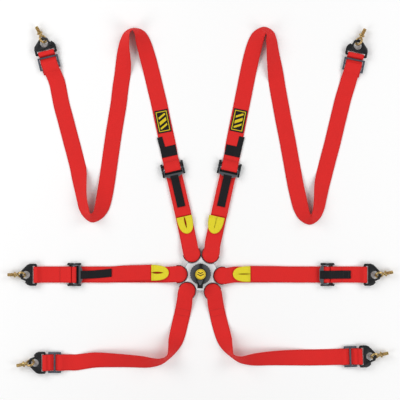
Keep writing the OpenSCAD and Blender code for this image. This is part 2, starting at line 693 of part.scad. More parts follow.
module release_tab_lap_right() { release_tab(ADJ_LAP_RIGHT, TAB_BACK); }

// ---------- sliders ----------

module slider(hook) {
    slot_l = (slider_l - 3 * slider_bar) / 2;
    side = (slider_w - web_w) / 2 - 2;
    color([0.3, 0.32, 0.36])
        at(hook, slider_z)
            translate([slider_u, 0, 0])
                difference() {
                    translate([-slider_l / 2, -slider_w / 2, 0])
                        cube([slider_l, slider_w, slider_t]);
                    for (u = [-slot_l - slider_bar / 2, slider_bar / 2])
                        translate([u, -slider_w / 2 + side, -1])
                            cube([slot_l, slider_w - 2 * side, slider_t + 2]);
                }
}
module slider_shoulder_left() { slider(HOOK_SHOULDER_LEFT); }
module slider_shoulder_right() { slider(HOOK_SHOULDER_RIGHT); }
module slider_crotch_left() { slider(HOOK_CROTCH_LEFT); }
module slider_crotch_right() { slider(HOOK_CROTCH_RIGHT); }

// ---------- snap hooks ----------

// Shield-shaped plate: webbing slot at the wide end, round hole and side mouth at the nose
module snap_hook(place, mouth) {
    slot_half = half_w + 2;
    rivet_top = 0.8;
    color([0.09, 0.1, 0.11])
        at(place, hook_z)
            mirror([0, mouth > 0 ? 0 : 1, 0]) {
                translate([0, 0, -hook_t / 2])
                    difference() {
                        linear_extrude(hook_t)
                            polygon([[hook_end_u, -hook_half + 4], [hook_end_u + 3, -hook_half], [-26, -hook_half],
                                [-18, -hook_half + 3], [0, -13], [5, -6], [5, 6], [0, 13],
                                [-18, hook_half - 3], [-26, hook_half], [hook_end_u + 3, hook_half],
                                [hook_end_u, hook_half - 4]]);
                        translate([hook_slot_u, -slot_half, -1])
                            cube([hook_slot_l, 2 * slot_half, hook_t + 2]);
                        translate([hook_hole_u, 0, -1])
                            cylinder(r = hook_hole_r, h = hook_t + 2);
                        translate([hook_hole_u, 0, -1])
                            rotate(mouth_angle)
                                translate([0, -mouth_w / 2, 0])
                                    cube([hook_w, mouth_w, hook_t + 2]);
                    }
                // gate's rivet
                translate([gate_pivot[0], gate_pivot[1], hook_t / 2 - 1])
                    cylinder(r = rivet_r, h = 1 + touch_gap + gate_t + touch_gap + rivet_top);
                translate([gate_pivot[0], gate_pivot[1], hook_t / 2 + touch_gap + gate_t + touch_gap])
                    cylinder(r = rivet_r + 1.6, h = rivet_top);
            }
}

// Sprung gate across the mouth, turning on its rivet
module hook_gate(place, mouth) {
    color([0.25, 0.26, 0.28])
        at(place, hook_z)
            mirror([0, mouth > 0 ? 0 : 1, 0])
                translate([gate_pivot[0], gate_pivot[1], hook_t / 2 + touch_gap])
                    rotate(gate_angle)
                        difference() {
                            union() {
                                cylinder(r = gate_w / 2 + 0.8, h = gate_t);
                                translate([0, -gate_w / 2, 0])
                                    cube([gate_l, gate_w, gate_t]);
                                translate([gate_l, 0, 0])
                                    cylinder(r = gate_w / 2, h = gate_t);
                            }
                            translate([0, 0, -1])
                                cylinder(r = rivet_r + run_gap, h = gate_t + 2);
                        }
}

// Eye bolt: a ring that leans through the hook's hole, a collar and a threaded shank
module eye_bolt(place, mouth, turn) {
    neck_l = 7;
    collar_r = 9;
    collar_t = 5;
    lean = mouth > 0 ? -eye_lean : eye_lean;
    color([0.78, 0.65, 0.35])
        at([place[0], place[1], place[2] + turn], hook_z)
            rotate([lean, 0, 0]) {
                rotate_extrude($fn = 64)
                    translate([eye_r, 0])
                        circle(r = eye_bar, $fn = 32);
                rotate([0, 90, 0]) {
                    translate([0, 0, eye_r + 1])
                        cylinder(r = eye_bar + 1.5, h = neck_l);
                    translate([0, 0, eye_r + neck_l])
                        cylinder(r = collar_r, h = collar_t);
                    translate([0, 0, eye_r + neck_l + collar_t - 1])
                        cylinder(r = shank_r, h = shank_l + 1);
                }
            }
}

module tongue_shoulder_left() { tongue(ang_shoulder_left); }
module tongue_shoulder_right() { tongue(ang_shoulder_right); }
module tongue_lap_left() { tongue(ang_lap_left); }
module tongue_lap_right() { tongue(ang_lap_right); }
module tongue_crotch_left() { tongue(ang_crotch_left); }
module tongue_crotch_right() { tongue(ang_crotch_right); }
module snap_hook_shoulder_left() { snap_hook(HOOK_SHOULDER_LEFT, MOUTH_SHOULDER_LEFT); }
module snap_hook_shoulder_right() { snap_hook(HOOK_SHOULDER_RIGHT, MOUTH_SHOULDER_RIGHT); }
module snap_hook_lap_left() { snap_hook(HOOK_LAP_LEFT, MOUTH_LAP_LEFT); }
module snap_hook_lap_right() { snap_hook(HOOK_LAP_RIGHT, MOUTH_LAP_RIGHT); }
module snap_hook_crotch_left() { snap_hook(HOOK_CROTCH_LEFT, MOUTH_CROTCH_LEFT); }
module snap_hook_crotch_right() { snap_hook(HOOK_CROTCH_RIGHT, MOUTH_CROTCH_RIGHT); }
module hook_gate_shoulder_left() { hook_gate(HOOK_SHOULDER_LEFT, MOUTH_SHOULDER_LEFT); }
module hook_gate_shoulder_right() { hook_gate(HOOK_SHOULDER_RIGHT, MOUTH_SHOULDER_RIGHT); }
module hook_gate_lap_left() { hook_gate(HOOK_LAP_LEFT, MOUTH_LAP_LEFT); }
module hook_gate_lap_right() { hook_gate(HOOK_LAP_RIGHT, MOUTH_LAP_RIGHT); }
module hook_gate_crotch_left() { hook_gate(HOOK_CROTCH_LEFT, MOUTH_CROTCH_LEFT); }
module hook_gate_crotch_right() { hook_gate(HOOK_CROTCH_RIGHT, MOUTH_CROTCH_RIGHT); }
module eye_bolt_shoulder_left() { eye_bolt(HOOK_SHOULDER_LEFT, MOUTH_SHOULDER_LEFT, TURN_SHOULDER_LEFT); }
module eye_bolt_shoulder_right() { eye_bolt(HOOK_SHOULDER_RIGHT, MOUTH_SHOULDER_RIGHT, TURN_SHOULDER_RIGHT); }
module eye_bolt_lap_left() { eye_bolt(HOOK_LAP_LEFT, MOUTH_LAP_LEFT, TURN_LAP_LEFT); }
module eye_bolt_lap_right() { eye_bolt(HOOK_LAP_RIGHT, MOUTH_LAP_RIGHT, TURN_LAP_RIGHT); }
module eye_bolt_crotch_left() { eye_bolt(HOOK_CROTCH_LEFT, MOUTH_CROTCH_LEFT, TURN_CROTCH_LEFT); }
module eye_bolt_crotch_right() { eye_bolt(HOOK_CROTCH_RIGHT, MOUTH_CROTCH_RIGHT, TURN_CROTCH_RIGHT); }

buckle_body();
buckle_back_plate();
latch_pins();
release_knob();
release_handle();
centre_badge();
tongue_shoulder_left();
tongue_shoulder_right();
tongue_lap_left();
tongue_lap_right();
tongue_crotch_left();
tongue_crotch_right();
strap_tongue_shoulder_left();
strap_tongue_shoulder_right();
strap_shoulder_left();
strap_shoulder_right();
strap_lap_left();
strap_lap_right();
anchor_loop_left();
anchor_loop_right();
strap_crotch_left();
strap_crotch_right();
pull_loop_shoulder_left();
pull_loop_shoulder_right();
pull_loop_lap_left();
pull_loop_lap_right();
adjuster_frame_shoulder_left();
adjuster_frame_shoulder_right();
adjuster_frame_lap_left();
adjuster_frame_lap_right();
adjuster_lever_shoulder_left();
adjuster_lever_shoulder_right();
adjuster_lever_lap_left();
adjuster_lever_lap_right();
release_tab_shoulder_left();
release_tab_shoulder_right();
release_tab_lap_left();
release_tab_lap_right();
slider_shoulder_left();
slider_shoulder_right();
slider_crotch_left();
slider_crotch_right();
snap_hook_shoulder_left();
snap_hook_shoulder_right();
snap_hook_lap_left();
snap_hook_lap_right();
snap_hook_crotch_left();
snap_hook_crotch_right();
hook_gate_shoulder_left();
hook_gate_shoulder_right();
hook_gate_lap_left();
hook_gate_lap_right();
hook_gate_crotch_left();
hook_gate_crotch_right();
eye_bolt_shoulder_left();
eye_bolt_shoulder_right();
eye_bolt_lap_left();
eye_bolt_lap_right();
eye_bolt_crotch_left();
eye_bolt_crotch_right();
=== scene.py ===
import math

import bmesh
import bpy
import numpy as np
from bpy.props import FloatProperty, FloatVectorProperty, PointerProperty
from mathutils import Matrix, Vector


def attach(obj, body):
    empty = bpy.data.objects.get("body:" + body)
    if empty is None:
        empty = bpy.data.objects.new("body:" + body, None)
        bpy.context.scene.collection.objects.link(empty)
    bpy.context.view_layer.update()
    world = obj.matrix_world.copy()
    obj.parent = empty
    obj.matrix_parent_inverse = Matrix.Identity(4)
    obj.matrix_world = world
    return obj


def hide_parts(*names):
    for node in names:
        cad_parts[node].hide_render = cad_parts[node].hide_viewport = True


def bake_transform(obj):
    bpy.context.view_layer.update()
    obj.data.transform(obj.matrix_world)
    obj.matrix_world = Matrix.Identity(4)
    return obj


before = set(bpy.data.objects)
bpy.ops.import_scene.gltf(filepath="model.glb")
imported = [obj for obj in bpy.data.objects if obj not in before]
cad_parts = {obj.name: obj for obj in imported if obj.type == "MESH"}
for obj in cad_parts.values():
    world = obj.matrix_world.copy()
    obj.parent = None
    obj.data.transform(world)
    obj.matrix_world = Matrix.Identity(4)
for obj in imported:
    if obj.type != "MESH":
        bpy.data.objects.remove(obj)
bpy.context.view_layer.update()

bl_info = {
    "name": "Racing harness",
    "version": (1, 0, 0),
    "blender": (4, 5, 0),
    "location": "View3D > Sidebar > Harness",
    "description": "Dresses a six-point racing harness: webbing, buckle, adjusters, hooks and eye bolts",
    "category": "Add Mesh",
}

MM = 0.001
SIDES = ("shoulder_left", "shoulder_right", "lap_left", "lap_right", "crotch_left", "crotch_right")
LEVERED = SIDES[:4]
SLIDING = ("shoulder_left", "shoulder_right", "crotch_left", "crotch_right")

# Places of the adjusters and hooks in millimetres: x, y and the bearing of the outward axis
ADJUSTERS = {
    "shoulder_left": (-86, 324, 103),
    "shoulder_right": (89, 325, 77.5),
    "lap_left": (-391, -3, 180),
    "lap_right": (393, -3, 0),
}
HOOKS = {
    "shoulder_left": (-487, 725, 104),
    "shoulder_right": (489, 718, 78),
    "lap_left": (-553, -3, 180),
    "lap_right": (552, -3, 0),
    "crotch_left": (-526, -275, 180),
    "crotch_right": (538, -254, 2),
}
MOUTH = {"shoulder_left": -1, "shoulder_right": 1, "lap_left": 1, "lap_right": -1,
         "crotch_left": -1, "crotch_right": -1}
BOLT_TURN = {"shoulder_left": 14, "shoulder_right": -15, "lap_left": 0, "lap_right": 11,
             "crotch_left": 12, "crotch_right": 10}
BUCKLE_TURN = 2
TONGUE_ANGLE = {
    "shoulder_left": 90 + 25.5 - BUCKLE_TURN,
    "shoulder_right": 90 - 25.5 - BUCKLE_TURN,
    "lap_left": 90 + 93 - BUCKLE_TURN,
    "lap_right": 90 - 93 - BUCKLE_TURN,
    "crotch_left": 90 + 144 - BUCKLE_TURN,
    "crotch_right": 90 - 144 - BUCKLE_TURN,
}
HEAD_DIST = 68
TONGUE_END = 6
STACK_T = 7.2
STACK_MID = 6.9 + STACK_T / 2
HOOK_Z = 12.5
EYE_LEAN = 50


def arm_body(side):
    return "buckle" if side == "lap_left" else "arm_" + side


# ---------- sizes and colours that a user would change ----------

def length_property(name, description, default):
    return FloatProperty(name=name, description=description, default=default, unit="LENGTH", precision=5)


def colour_property(name, description, default):
    return FloatVectorProperty(name=name, description=description, default=default, subtype="COLOR", size=3,
                               min=0.0, max=1.0)


class HarnessWebbing(bpy.types.PropertyGroup):
    width: length_property("Width", "Width of the harness webbing", 0.05)
    yarn: length_property("Yarn pitch", "Spacing of the yarns across the webbing", 0.0017)
    rib: length_property("Rib pitch", "Spacing of the cross ribs along the webbing", 0.0026)
    red: colour_property("Red", "Colour of the main webbing", (0.80, 0.022, 0.020))
    yellow: colour_property("Yellow", "Colour of the pull loops", (0.86, 0.74, 0.03))
    black: colour_property("Black", "Colour of the tabs, labels and keepers", (0.008, 0.008, 0.010))
    thread: colour_property("Thread", "Colour of the sewing thread", (0.17, 0.004, 0.004))


class HarnessMetal(bpy.types.PropertyGroup):
    alloy: colour_property("Alloy", "Colour of the buckle's body", (0.93, 0.935, 0.94))
    coated: colour_property("Coated steel", "Colour of hooks, tongues and adjuster frames",
                            (0.008, 0.0085, 0.010))
    blued: colour_property("Blued steel", "Colour of the three-bar sliders", (0.075, 0.085, 0.11))
    plated: colour_property("Plated steel", "Colour of the levers and gates", (0.20, 0.21, 0.23))
    zinc: colour_property("Zinc", "Colour of the eye bolts", (0.46, 0.33, 0.13))
    thread_pitch: length_property("Thread pitch", "Pitch of the eye bolts' thread, 20 to the inch", 0.00127)


class HarnessStage(bpy.types.PropertyGroup):
    lens: FloatProperty(name="Lens", description="Focal length of the camera in millimetres", default=100.0)
    view_width: length_property("View width", "Width of the floor that the camera sees", 1.24)
    centre_x: length_property("Centre X", "Point of the floor under the camera, along X", -0.0016)
    centre_y: length_property("Centre Y", "Point of the floor under the camera, along Y", 0.2279)
    floor: colour_property("Floor", "Colour of the floor", (0.985, 0.985, 0.985))


# ---------- shader maths ----------

class Value:
    """A shader socket used in sums as if it were a number."""

    def __init__(self, paint, socket):
        self.paint = paint
        self.socket = socket

    def maths(self, operation, *others):
        return self.paint.maths(operation, self, *others)

    def __add__(self, other):
        return self.maths("ADD", other)

    def __sub__(self, other):
        return self.maths("SUBTRACT", other)

    def __rsub__(self, other):
        return self.paint.maths("SUBTRACT", other, self)

    def __mul__(self, other):
        return self.maths("MULTIPLY", other)

    def __truediv__(self, other):
        return self.maths("DIVIDE", other)

    def __gt__(self, other):
        return self.maths("GREATER_THAN", other)

    def __lt__(self, other):
        return self.maths("LESS_THAN", other)

    def __abs__(self):
        return self.maths("ABSOLUTE")

    __radd__ = __add__
    __rmul__ = __mul__

    def sine(self):
        return self.maths("SINE")

    def between(self, low, high):
        return self.paint.ramp(self, low, high)


class Paint:
    """A material's node tree, with one Principled shader at its end."""

    def __init__(self, name):
        self.material = bpy.data.materials.new(name)
        self.material.use_nodes = True
        self.tree = self.material.node_tree
        self.shader = self.tree.nodes["Principled BSDF"]

    def node(self, kind, settings=None, inputs=None):
        new = self.tree.nodes.new(kind)
        for key, value in (settings or {}).items():
            setattr(new, key, value)
        for key, value in (inputs or {}).items():
            self.feed(new.inputs[key], value)
        return new

    def feed(self, socket, value):
        if isinstance(value, Value):
            self.tree.links.new(value.socket, socket)
        elif isinstance(value, bpy.types.NodeSocket):
            self.tree.links.new(value, socket)
        else:
            socket.default_value = value

    def maths(self, operation, *values):
        new = self.node("ShaderNodeMath", {"operation": operation}, dict(enumerate(values)))
        return Value(self, new.outputs[0])

    def ramp(self, value, low, high):
        new = self.node("ShaderNodeMapRange", {"clamp": True},
                        {"Value": value, "From Min": low, "From Max": high})
        return Value(self, new.outputs[0])

    def coordinates(self, kind="Object"):
        return self.node("ShaderNodeTexCoord").outputs[kind]

    def axes(self, vector):
        new = self.node("ShaderNodeSeparateXYZ", None, {0: vector})
        return [Value(self, out) for out in new.outputs]

    def noise(self, scale, detail=2.0, vector=None, roughness=0.5):
        new = self.node("ShaderNodeTexNoise", None, {
            "Vector": vector or self.coordinates(), "Scale": scale, "Detail": detail, "Roughness": roughness})
        return Value(self, new.outputs["Fac"])

    def mix(self, factor, first, second):
        new = self.node("ShaderNodeMix", {"data_type": "RGBA"})
        self.feed(new.inputs["Factor"], factor)
        for socket, value in zip([s for s in new.inputs if s.type == "RGBA"], (first, second)):
            self.feed(socket, value if isinstance(value, bpy.types.NodeSocket) else (*value, 1.0))
        return [s for s in new.outputs if s.type == "RGBA"][0]

    def bump(self, height, distance, strength=1.0):
        return self.node("ShaderNodeBump", None, {
            "Height": height, "Distance": distance, "Strength": strength}).outputs["Normal"]

    def finish(self, **sockets):
        for key, value in sockets.items():
            self.feed(self.shader.inputs[key.replace("_", " ")], value)
        return self.material


def shade(colour, share):
    return tuple(min(1.0, c * share) for c in colour)


_materials = {}


def once(name, make):
    """The material of that name, made the first time that it is asked for."""
    if name not in _materials:
        _materials[name] = make(name)
    return _materials[name]


def woven(name, colour, width, yarn, rib, slant=0.35, gloss=0.72):
    """Flat webbing: yarns along it, slanting ribs across it and firm selvedges, on a UV map in metres;
    painted shade darkens the weave's low parts.
    """
    paint = Paint(name)
    across, along, _ = paint.axes(paint.coordinates("UV"))
    yarns = (across * (2 * math.pi / yarn)).sine()
    ribs = ((along + across * slant) * (2 * math.pi / rib)).sine()
    cells = yarns * ribs
    bands = ((along + across * slant) * (2 * math.pi / (rib * 2.6)) + paint.noise(9.0, 1.0) * 2).sine()
    height = yarns * 0.25 + ribs * 0.35 + cells * 0.25 + bands * 0.3
    valley = (height * -1).between(-0.2, 1.1)
    wear = paint.noise(38.0, 3.0).between(0.35, 0.75)
    fibre = paint.noise(900.0, 2.0).between(0.3, 0.7)
    edge = (abs(across - width / 2) - (width / 2 - 0.0022)).between(0.0, 0.0006)
    edge_line = edge * (1 - (abs(across - width / 2) - (width / 2 - 0.0012)).between(0.0, 0.0005) * 0.6)
    # painted shade: the weave's low parts (valley) are darkened towards half the colour, standing in for
    # shadow in its hollows
    base = paint.mix(valley * 0.5, colour, shade(colour, 0.5))
    base = paint.mix(bands.between(0.1, 1.0) * 0.34, base, shade(colour, 0.62))
    base = paint.mix(edge_line * 0.5, base, shade(colour, 0.42))
    base = paint.mix(wear * 0.16, base, shade(colour, 0.72))
    base = paint.mix(fibre * 0.10, base, tuple(min(1.0, c * 1.1 + 0.02) for c in colour))
    relief = height * (1 - edge * 0.5) + fibre * 0.35
    return paint.finish(
        Base_Color=base,
        Roughness=(valley * 0.15 + gloss - wear * 0.08),
        Normal=paint.bump(relief, 0.00035, 0.55),
        Specular_IOR_Level=0.18,
    )


def red_webbing(name):
    sizes = bpy.context.scene.harness_webbing
    return woven(name, sizes.red, sizes.width, sizes.yarn, sizes.rib)


def yellow_tape(name):
    sizes = bpy.context.scene.harness_webbing
    return woven(name, sizes.yellow, 0.024, sizes.yarn * 0.8, sizes.rib * 0.8, 0.0)


def black_tape(name):
    sizes = bpy.context.scene.harness_webbing
    return woven(name, sizes.black, 0.025, sizes.yarn, sizes.rib, 0.0, 0.6)


def coated(name, colour, roughness=0.40, speckle=0.2, metallic=0.0, coat=0.12):
    """Stove-enamelled steel: faint orange peel, random dusty patches and rubbed scuffs."""
    paint = Paint(name)
    peel = paint.noise(420.0, 2.0)
    patch = paint.noise(55.0, 4.0, roughness=0.6).between(0.42, 0.7)
    scuff = paint.noise(160.0, 5.0, roughness=0.7).between(0.60, 0.72)
    base = paint.mix(patch * speckle, colour, shade(tuple(c + 0.008 for c in colour), 1.5))
    base = paint.mix(scuff * speckle * 0.6, base, tuple(min(1.0, c + 0.08) for c in colour))
    return paint.finish(
        Base_Color=base, Metallic=metallic,
        Roughness=patch * 0.14 + scuff * 0.1 + (roughness - 0.06),
        Normal=paint.bump(peel * 0.6 + scuff * 0.4, 0.00008, 0.5),
        Coat_Weight=coat, Coat_Roughness=0.25, Specular_IOR_Level=0.3,
    )


def brushed(name, colour, roughness=0.34, direction=(1.0, 18.0, 18.0), metallic=1.0):
    """Bare or plated metal with a fine brushed grain and slight staining."""
    paint = Paint(name)
    stretched = paint.node("ShaderNodeMapping", None, {
        "Vector": paint.coordinates(), "Scale": direction}).outputs[0]
    grain = paint.noise(130.0, 4.0, stretched, 0.65)
    stain = paint.noise(34.0, 3.0).between(0.35, 0.75)
    base = paint.mix(stain * 0.35, colour, shade(colour, 0.8))
    base = paint.mix(grain.between(0.35, 0.8) * 0.25, base, shade(colour, 0.7))
    return paint.finish(
        Base_Color=base, Metallic=metallic,
        Roughness=grain * 0.16 + stain * 0.08 + (roughness - 0.1),
        Normal=paint.bump(grain, 0.00005, 0.4),
    )


def buckle_alloy(name):
    return brushed(name, bpy.context.scene.harness_metal.alloy, 0.42, (6.0, 6.0, 6.0), 0.25)


def bright_steel(name):
    return brushed(name, (0.56, 0.56, 0.58), 0.3)


def black_steel(name):
    return coated(name, bpy.context.scene.harness_metal.coated)


def blued_steel(name):
    return coated(name, bpy.context.scene.harness_metal.blued, 0.36, 0.3, 0.35, 0.3)


def grey_steel(name):
    return brushed(name, bpy.context.scene.harness_metal.plated, 0.38)


def yellow_zinc(name):
    """Yellow passivated zinc: golden, with faint pink and green bloom."""
    colour = bpy.context.scene.harness_metal.zinc
    paint = Paint(name)
    bloom = paint.noise(190.0, 3.0).between(0.38, 0.66)
    green = paint.noise(120.0, 3.0, roughness=0.6).between(0.5, 0.75)
    grime = paint.noise(320.0, 4.0).between(0.55, 0.8)
    base = paint.mix(bloom * 0.5, colour, (0.66, 0.38, 0.20))
    base = paint.mix(green * 0.4, base, (0.60, 0.62, 0.24))
    base = paint.mix(grime * 0.5, base, (0.16, 0.10, 0.05))
    return paint.finish(Base_Color=base, Metallic=0.95, Roughness=bloom * 0.12 + grime * 0.2 + 0.24,
                        Normal=paint.bump(grime, 0.00006, 0.5))


def moulded(name, colour, roughness, grain=0.5):
    """Moulded plastic with a fine spark-eroded grain."""
    paint = Paint(name)
    fine = paint.noise(1300.0, 2.0)
    patch = paint.noise(60.0, 3.0).between(0.4, 0.7)
    base = paint.mix(patch * 0.25, colour, tuple(c * 1.4 + 0.01 for c in colour))
    return paint.finish(Base_Color=base, Roughness=patch * 0.1 + fine * 0.1 + (roughness - 0.08),
                        Normal=paint.bump(fine, 0.00008, grain))


def knob_plastic(name):
    return moulded(name, (0.062, 0.066, 0.072), 0.5)


def handle_plastic(name):
    return moulded(name, (0.005, 0.005, 0.006), 0.34, 0.25)


def badge_enamel(name):
    """Enamelled yellow disc with a thin black ring and two plain black chevrons."""
    paint = Paint(name)
    x, y, _ = paint.axes(paint.coordinates())
    radius = (x * x + y * y).maths("SQRT")
    ring = (radius > 0.0134) * (radius < 0.0143)
    vee = abs(y - abs(x) * 0.5 + 0.0045)
    chevron = (vee < 0.0016) * (radius < 0.0102)
    second = (abs(y - abs(x) * 0.5 - 0.0025) < 0.0016) * (radius < 0.0102)
    mark = ring.maths("MAXIMUM", chevron).maths("MAXIMUM", second)
    fine = paint.noise(700.0, 2.0)
    base = paint.mix(mark, (0.86, 0.62, 0.02), (0.012, 0.011, 0.010))
    return paint.finish(Base_Color=base, Roughness=fine * 0.1 + 0.22,
                        Normal=paint.bump(mark * 0.8 + fine * 0.1, 0.0002, 0.4), Coat_Weight=0.5)


def label_weave(name):
    """Woven label: black ground, a thin yellow frame and three plain slanting bars."""
    paint = Paint(name)
    across, along, _ = paint.axes(paint.coordinates("UV"))
    half_w, half_l = LABEL_W / 2 * MM, LABEL_L / 2 * MM
    u = abs(across - half_w)
    v = abs(along - half_l)
    outer = (u < half_w - 0.0035) * (v < half_l - 0.0045)
    inner = (u < half_w - 0.0058) * (v < half_l - 0.0068)
    border = outer * (1 - inner)
    slanted = (along - half_l) + (across - half_w) * 0.55
    bars = (abs(slanted) < 0.0052)
    for offset in (-0.0165, 0.0165):
        bars = bars.maths("MAXIMUM", abs(slanted - offset) < 0.0034)
    bars = bars * (u < half_w - 0.0095) * (v < half_l - 0.0115)
    mark = border.maths("MAXIMUM", bars)
    yarns = (across * (2 * math.pi / 0.0009)).sine() * (along * (2 * math.pi / 0.0009)).sine()
    base = paint.mix(mark, (0.012, 0.012, 0.013), (0.86, 0.66, 0.02))
    base = paint.mix(yarns.between(-1.0, 1.0) * 0.35, base, (0.006, 0.006, 0.006))
    return paint.finish(Base_Color=base, Roughness=0.74, Specular_IOR_Level=0.15,
                        Normal=paint.bump(yarns * 0.5 + mark, 0.0002, 0.6))


def sewing_thread(name):
    paint = Paint(name)
    colour = bpy.context.scene.harness_webbing.thread
    twist = paint.noise(1600.0, 1.0)
    base = paint.mix(twist * 0.6, colour, shade(colour, 1.8))
    return paint.finish(Base_Color=base, Roughness=0.6, Normal=paint.bump(twist, 0.0001, 0.6))


def dark_thread(name):
    paint = Paint(name)
    twist = paint.noise(1600.0, 1.0)
    base = paint.mix(twist, (0.02, 0.02, 0.02), (0.07, 0.07, 0.07))
    return paint.finish(Base_Color=base, Roughness=0.6, Normal=paint.bump(twist, 0.0001, 0.6))


# ---------- mesh helpers ----------

THREAD_R = 0.00042
TAPE_THREAD_R = 0.00035
LABEL_THREAD_R = 0.00032


def add_piece(name, bm, body, material, replaced=(), smooth=True):
    """Makes the finished object, at the origin, riding on its body."""
    mesh = bpy.data.meshes.new(name)
    bm.to_mesh(mesh)
    bm.free()
    mesh.polygons.foreach_set("use_smooth", [smooth] * len(mesh.polygons))
    piece = bpy.data.objects.new(name, mesh)
    bpy.context.scene.collection.objects.link(piece)
    mesh.materials.append(material)
    if body:
        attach(piece, body)
    if replaced:
        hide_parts(*replaced)
    return piece


def round_edges(piece, width, segments=2, angle=32):
    """Rolls the sharp edges over, and keeps the flats flat."""
    bevel = piece.modifiers.new("edges", "BEVEL")
    bevel.width = width
    bevel.segments = segments
    bevel.limit_method = "ANGLE"
    bevel.angle_limit = math.radians(angle)
    bevel.harden_normals = True
    return piece


def from_node(node):
    """A merged copy of a CAD node's mesh, with its flat faces whole again."""
    bm = bmesh.new()
    bm.from_mesh(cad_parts[node].data)
    bmesh.ops.remove_doubles(bm, verts=bm.verts, dist=2e-6)
    bmesh.ops.dissolve_limit(bm, angle_limit=math.radians(0.6), verts=bm.verts, edges=bm.edges)
    return bm


def dress_node(node, name, body, material, width, segments=2):
    piece = add_piece(name, from_node(node), body, material, [node])
    return round_edges(piece, width, segments)


def raise_faces(bm, offset):
    """Draws the flat shape in bm out into a solid."""
    raised = bmesh.ops.extrude_face_region(bm, geom=list(bm.faces))
    verts = [v for v in raised["geom"] if isinstance(v, bmesh.types.BMVert)]
    bmesh.ops.translate(bm, vec=offset, verts=verts)


def placed(place, z=0.0):
    """The matrix of a place given in millimetres, at a height in metres."""
    x, y, bearing = place
    return Matrix.Translation((x * MM, y * MM, z)) @ Matrix.Rotation(math.radians(bearing), 4, "Z")


def along_place(place, u, v):
    x, y, bearing = place
    c, s = math.cos(math.radians(bearing)), math.sin(math.radians(bearing))
    return x + u * c - v * s, y + u * s + v * c


# ---------- routes of the webbing ----------

def smooth_route(stations, steps, closed=False):
    """A Catmull-Rom curve through the stations, each number blended by itself."""
    points = np.array(stations, float)
    n = len(points)
    rows = []
    for i in range(n if closed else n - 1):
        if closed:
            a, b, c, d = (points[(i + k) % n] for k in (-1, 0, 1, 2))
        else:
            a, b, c, d = points[max(i - 1, 0)], points[i], points[i + 1], points[min(i + 2, n - 1)]
        for k in range(steps):
            t = k / steps
            rows.append(0.5 * (2 * b + (c - a) * t + (2 * a - 5 * b + 4 * c - d) * t ** 2
                               + (3 * b - a - 3 * c + d) * t ** 3))
    if not closed:
        rows.append(points[-1])
    return np.array(rows)


def station(x, y, z, bearing, thickness, width=50.0):
    """A station lying flat: the webbing runs along the bearing."""
    a = math.radians(bearing)
    return [x, y, z, -math.sin(a), math.cos(a), 0.0, width, thickness]


def floor_route(stations, width=50.0, thickness=2.0):
    """Stations on the floor as x, y and lean; the lean turns the webbing on edge and lifts its middle."""
    route = []
    last = len(stations) - 1
    for i, (x, y, lean) in enumerate(stations):
        before, after = stations[max(i - 1, 0)], stations[min(i + 1, last)]
        t = Vector((after[0] - before[0], after[1] - before[1])).normalized()
        c, s = math.cos(math.radians(lean)), math.sin(math.radians(lean))
        route.append([x, y, thickness / 2 + width / 2 * abs(s), -t.y * c, t.x * c, s, width, thickness])
    return route


def arm_route(place, stations, width=50.0):
    """Stations that keep to one arm's axis, as u, v, z and thickness."""
    return [station(*along_place(place, u, v), z, place[2], t, width) for u, v, z, t in stations]


def slider_over(drift):
    """Over a slider's two lower bars and under its top one; the strap comes in from the side by its drift."""
    return [(-145, drift, SINGLE_Z, 2), (-120, 0.75 * drift, 2.4, 2), (-106, 0.5 * drift, 6, 2),
            (-98, 0.35 * drift, 9.3, 2), (-92, 0.25 * drift, 10, 2), (-83, 0.1 * drift, 10, 2),
            (-73, 0, 10.2, 2), (-69.4, 0, 9.2, 2), (-65, 0, 5.8, 2), (-61, 0, 3.6, 2), (-54.5, 0, OVER_Z, 2),
            (-51.6, 0, 4.8, 2), (-50.4, 0, 8.5, 2), (-50.2, 0, 12.5, 2)]


class Ribbon:
    """Flat webbing swept along a route: knows its rings, its length and any point of its two faces."""

    def __init__(self, stations, steps, closed=False):
        rows = smooth_route(stations, steps, closed)
        self.closed = closed
        self.centre = rows[:, :3] * MM
        self.width = rows[:, 6] * MM
        self.thick = rows[:, 7] * MM
        self.nominal = float(self.width.max())
        across = rows[:, 3:6]
        self.across = across / np.linalg.norm(across, axis=1)[:, None]
        if closed:
            tangent = np.roll(self.centre, -1, 0) - np.roll(self.centre, 1, 0)
        else:
            tangent = np.gradient(self.centre, axis=0)
        self.tangent = tangent / np.linalg.norm(tangent, axis=1)[:, None]
        up = np.cross(self.tangent, self.across)
        self.up = up / np.linalg.norm(up, axis=1)[:, None]
        step = np.linalg.norm(np.diff(self.centre, axis=0), axis=1)
        self.run = np.concatenate([[0.0], np.cumsum(step)])
        self.length = float(self.run[-1])
        if closed:
            self.length += float(np.linalg.norm(self.centre[0] - self.centre[-1]))

    def at(self, run, side, height=0.0, face=1):
        """A point on the webbing: run along it, side across it from -1 to 1, and height above a face."""
        pick = [np.interp(run, self.run, column) for column in
                np.column_stack([self.centre, self.across, self.up, self.width, self.thick]).T]
        centre, across, up = (Vector(pick[i:i + 3]) for i in (0, 3, 6))
        lift = face * (pick[10] / 2 + height)
        return centre + across * (side * pick[9] / 2) + up * lift, up * face, across

    def index_at(self, run):
        """The ring nearest to a run."""
        return int(np.argmin(abs(self.run - run)))

    def facing_up(self, index):
        """The face that looks up at a ring: 1 for the upper one, -1 for the lower one."""
        return 1 if self.up[index][2] > 0 else -1

    def nearest(self, x, y):
        """The run of the point nearest to a place in millimetres."""
        gap = np.hypot(self.centre[:, 0] - x * MM, self.centre[:, 1] - y * MM)
        return float(self.run[int(np.argmin(gap))])


